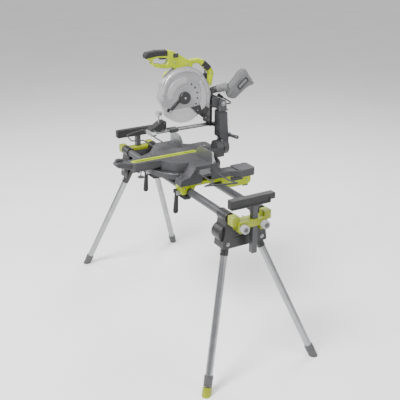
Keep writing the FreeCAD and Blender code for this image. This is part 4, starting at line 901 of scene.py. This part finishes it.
def dust_bag():
    bag = sewn_shell()
    inflate(bag)
    crumple = bpy.data.textures.new("bag_crumple", "CLOUDS")
    crumple.noise_scale, crumple.noise_depth = 0.045, 2
    fold = bag.modifiers.new("creases", "DISPLACE")
    fold.texture, fold.strength, fold.mid_level, fold.texture_coords = crumple, 0.006, 0.5, "GLOBAL"
    soften = bag.modifiers.new("smooth", "SUBSURF")
    soften.levels = soften.render_levels = 1
    settle(bag)
    for face in bag.data.polygons:
        face.use_smooth = True
    bag.data.materials.clear()
    bag.data.materials.append(LOOK["bag_cloth"])
    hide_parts("dust_bag")
    return bag


def bag_trim(bag):
    """Piping, stitching, the framed patch, the elastic cuff and its clip."""
    tree = BVHTree.FromObject(bag, bpy.context.evaluated_depsgraph_get())
    middle = at(BAG_X, *BAG_MIDDLE)

    def seam(x, proud):
        points = []
        for i in range(56):
            angle = 2 * math.pi * i / 56
            out = Vector((0, math.cos(angle), math.sin(angle)))
            axis = Vector((x / 1000, middle.y, middle.z))
            hit = tree.ray_cast(axis + out * 0.3, -out)[0]
            points.append(hit + out * proud)
        return points

    wire("dust_bag_piping", seam(BAG_X, 0.0004), 0.0018, "rubber", "dust_bag", True)
    for name, x in (("left", BAG_X - 8), ("right", BAG_X + 8)):
        stitch = wire("dust_bag_stitch_" + name, seam(x, -0.0003), 0.0007, "label_pale", "dust_bag", True)

    lean = math.radians(40)

    def patch(name, width, height, corner, look, proud):
        bm = bmesh.new()
        columns, rows = 26, 12
        grid = {}
        for i in range(columns + 1):
            for k in range(rows + 1):
                u, v = (i / columns - 0.5) * width, (k / rows - 0.5) * height
                pull_u, pull_v = max(abs(u) - width / 2 + corner, 0), max(abs(v) - height / 2 + corner, 0)
                if pull_u and pull_v:
                    length = math.hypot(pull_u, pull_v)
                    scale = min(1.0, corner / length)
                    u -= math.copysign(pull_u * (1 - scale), u)
                    v -= math.copysign(pull_v * (1 - scale), v)
                spot = Vector((0.2, middle.y + 0.004 + u * math.cos(lean) - v * math.sin(lean),
                               middle.z + 0.002 + u * math.sin(lean) + v * math.cos(lean)))
                hit, normal = tree.ray_cast(spot, LEFT)[:2]
                grid[i, k] = bm.verts.new(hit + normal * proud)
        for i in range(columns):
            for k in range(rows):
                bm.faces.new((grid[i, k], grid[i + 1, k], grid[i + 1, k + 1], grid[i, k + 1]))
        made = piece(name, bm, look, "dust_bag")
        thick = made.modifiers.new("thick", "SOLIDIFY")
        thick.thickness, thick.offset = 0.0012, 0.0
        settle(made)

    patch("dust_bag_patch", 0.074, 0.030, 0.004, "label_dark", 0.0006)
    patch("dust_bag_patch_blank", 0.058, 0.014, 0.002, "label_pale", 0.0013)

    way = (SPOUT_TO - SPOUT_FROM).normalized()
    bm = bmesh.new()
    profile = [(0.0188, -0.040), (0.0205, -0.0396), (0.0212, -0.034), (0.0206, -0.028), (0.0213, -0.021),
               (0.0208, -0.015), (0.0216, -0.0075), (0.0211, -0.004), (0.0224, 0.0), (0.0232, 0.006),
               (0.0226, 0.014), (0.019, 0.020)]
    lathe(bm, frame_on(SPOUT_TO, way), profile, 56)
    for vertex in bm.verts:
        spot = vertex.co - SPOUT_TO
        side = spot - way * spot.dot(way)
        if side.length:
            angle = math.atan2(side.dot(UP), side.dot(way.cross(UP)))
            vertex.co += side.normalized() * 0.0005 * math.sin(14 * angle)
    piece("dust_bag_cuff", bm, "bag_cloth", "dust_bag")
    place = frame_on(SPOUT_TO - way * 0.009, way)
    ring = [place @ Vector((0.0226 * math.cos(a), 0.0226 * math.sin(a), 0)) for a in
            [2 * math.pi * k / 28 for k in range(28)]]
    wire("dust_bag_clip_ring", ring, 0.0011, "steel", "dust_bag", True)
    for name, lift in (("upper", 0.5), ("lower", -0.5)):
        loop = [(0.0226, 0.0, 0.0), (0.027, 0.004 * lift, 0.001), (0.034, 0.010 * lift, 0.002),
                (0.037, 0.016 * lift, 0.002), (0.033, 0.020 * lift, 0.001), (0.028, 0.014 * lift, 0.0)]
        turned = [place @ Matrix.Rotation(math.radians(215), 4, "Z") @ Vector(p) for p in loop]
        wire("dust_bag_clip_" + name, turned, 0.0011, "steel", "dust_bag")


bag_trim(dust_bag())


def coil_tie():
    """Hook-and-loop strap round the coil's top, fastened to the casting beside it."""
    bm = bmesh.new()
    low, high, inner, outer = COIL_Z + 36.0, COIL_Z + 57.0, -86.5, -57.5
    profile = [(inner, low), (inner, high), (outer, high), (outer, low)]
    near, far = COIL_Y - 9.0, COIL_Y + 9.0
    count = len(profile)
    rows = []
    for y in (near, near + 1.5, far - 1.5, far):
        swell = 0.0 if y in (near, far) else 0.5
        row = []
        for x, z in profile:
            away_x, away_z = math.copysign(swell, x + 72), math.copysign(swell, z - COIL_Z - 46)
            row.append(bm.verts.new(at(x + away_x, y, z + away_z)))
        rows.append(row)
    for one, other in zip(rows, rows[1:]):
        for i in range(count):
            j = (i + 1) % count
            bm.faces.new((one[i], one[j], other[j], other[i]))
    tie = piece("cord_tie", bm, "rubber", "head")
    thick = tie.modifiers.new("thick", "SOLIDIFY")
    thick.thickness, thick.offset = 0.0012, 0.0
    rounding = tie.modifiers.new("rounding", "BEVEL")
    rounding.width, rounding.segments, rounding.limit_method = 0.0025, 3, "ANGLE"
    settle(tie)


coil_tie()

# ---- floor ----------------------------------------------------------------------------------------
def floor():
    reach = 40.0
    bpy.ops.mesh.primitive_grid_add(x_subdivisions=4, y_subdivisions=4, size=2 * reach)
    ground = bpy.context.object
    ground.name = "studio_floor"
    s = Surface("studio_floor")
    tone = s.mix(s.spread(s.noise(0.8, 3), 0.3, 0.7), (0.83, 0.83, 0.83), (0.87, 0.87, 0.87))
    ground.data.materials.append(s.done(base_color=tone, roughness=0.85))


floor()
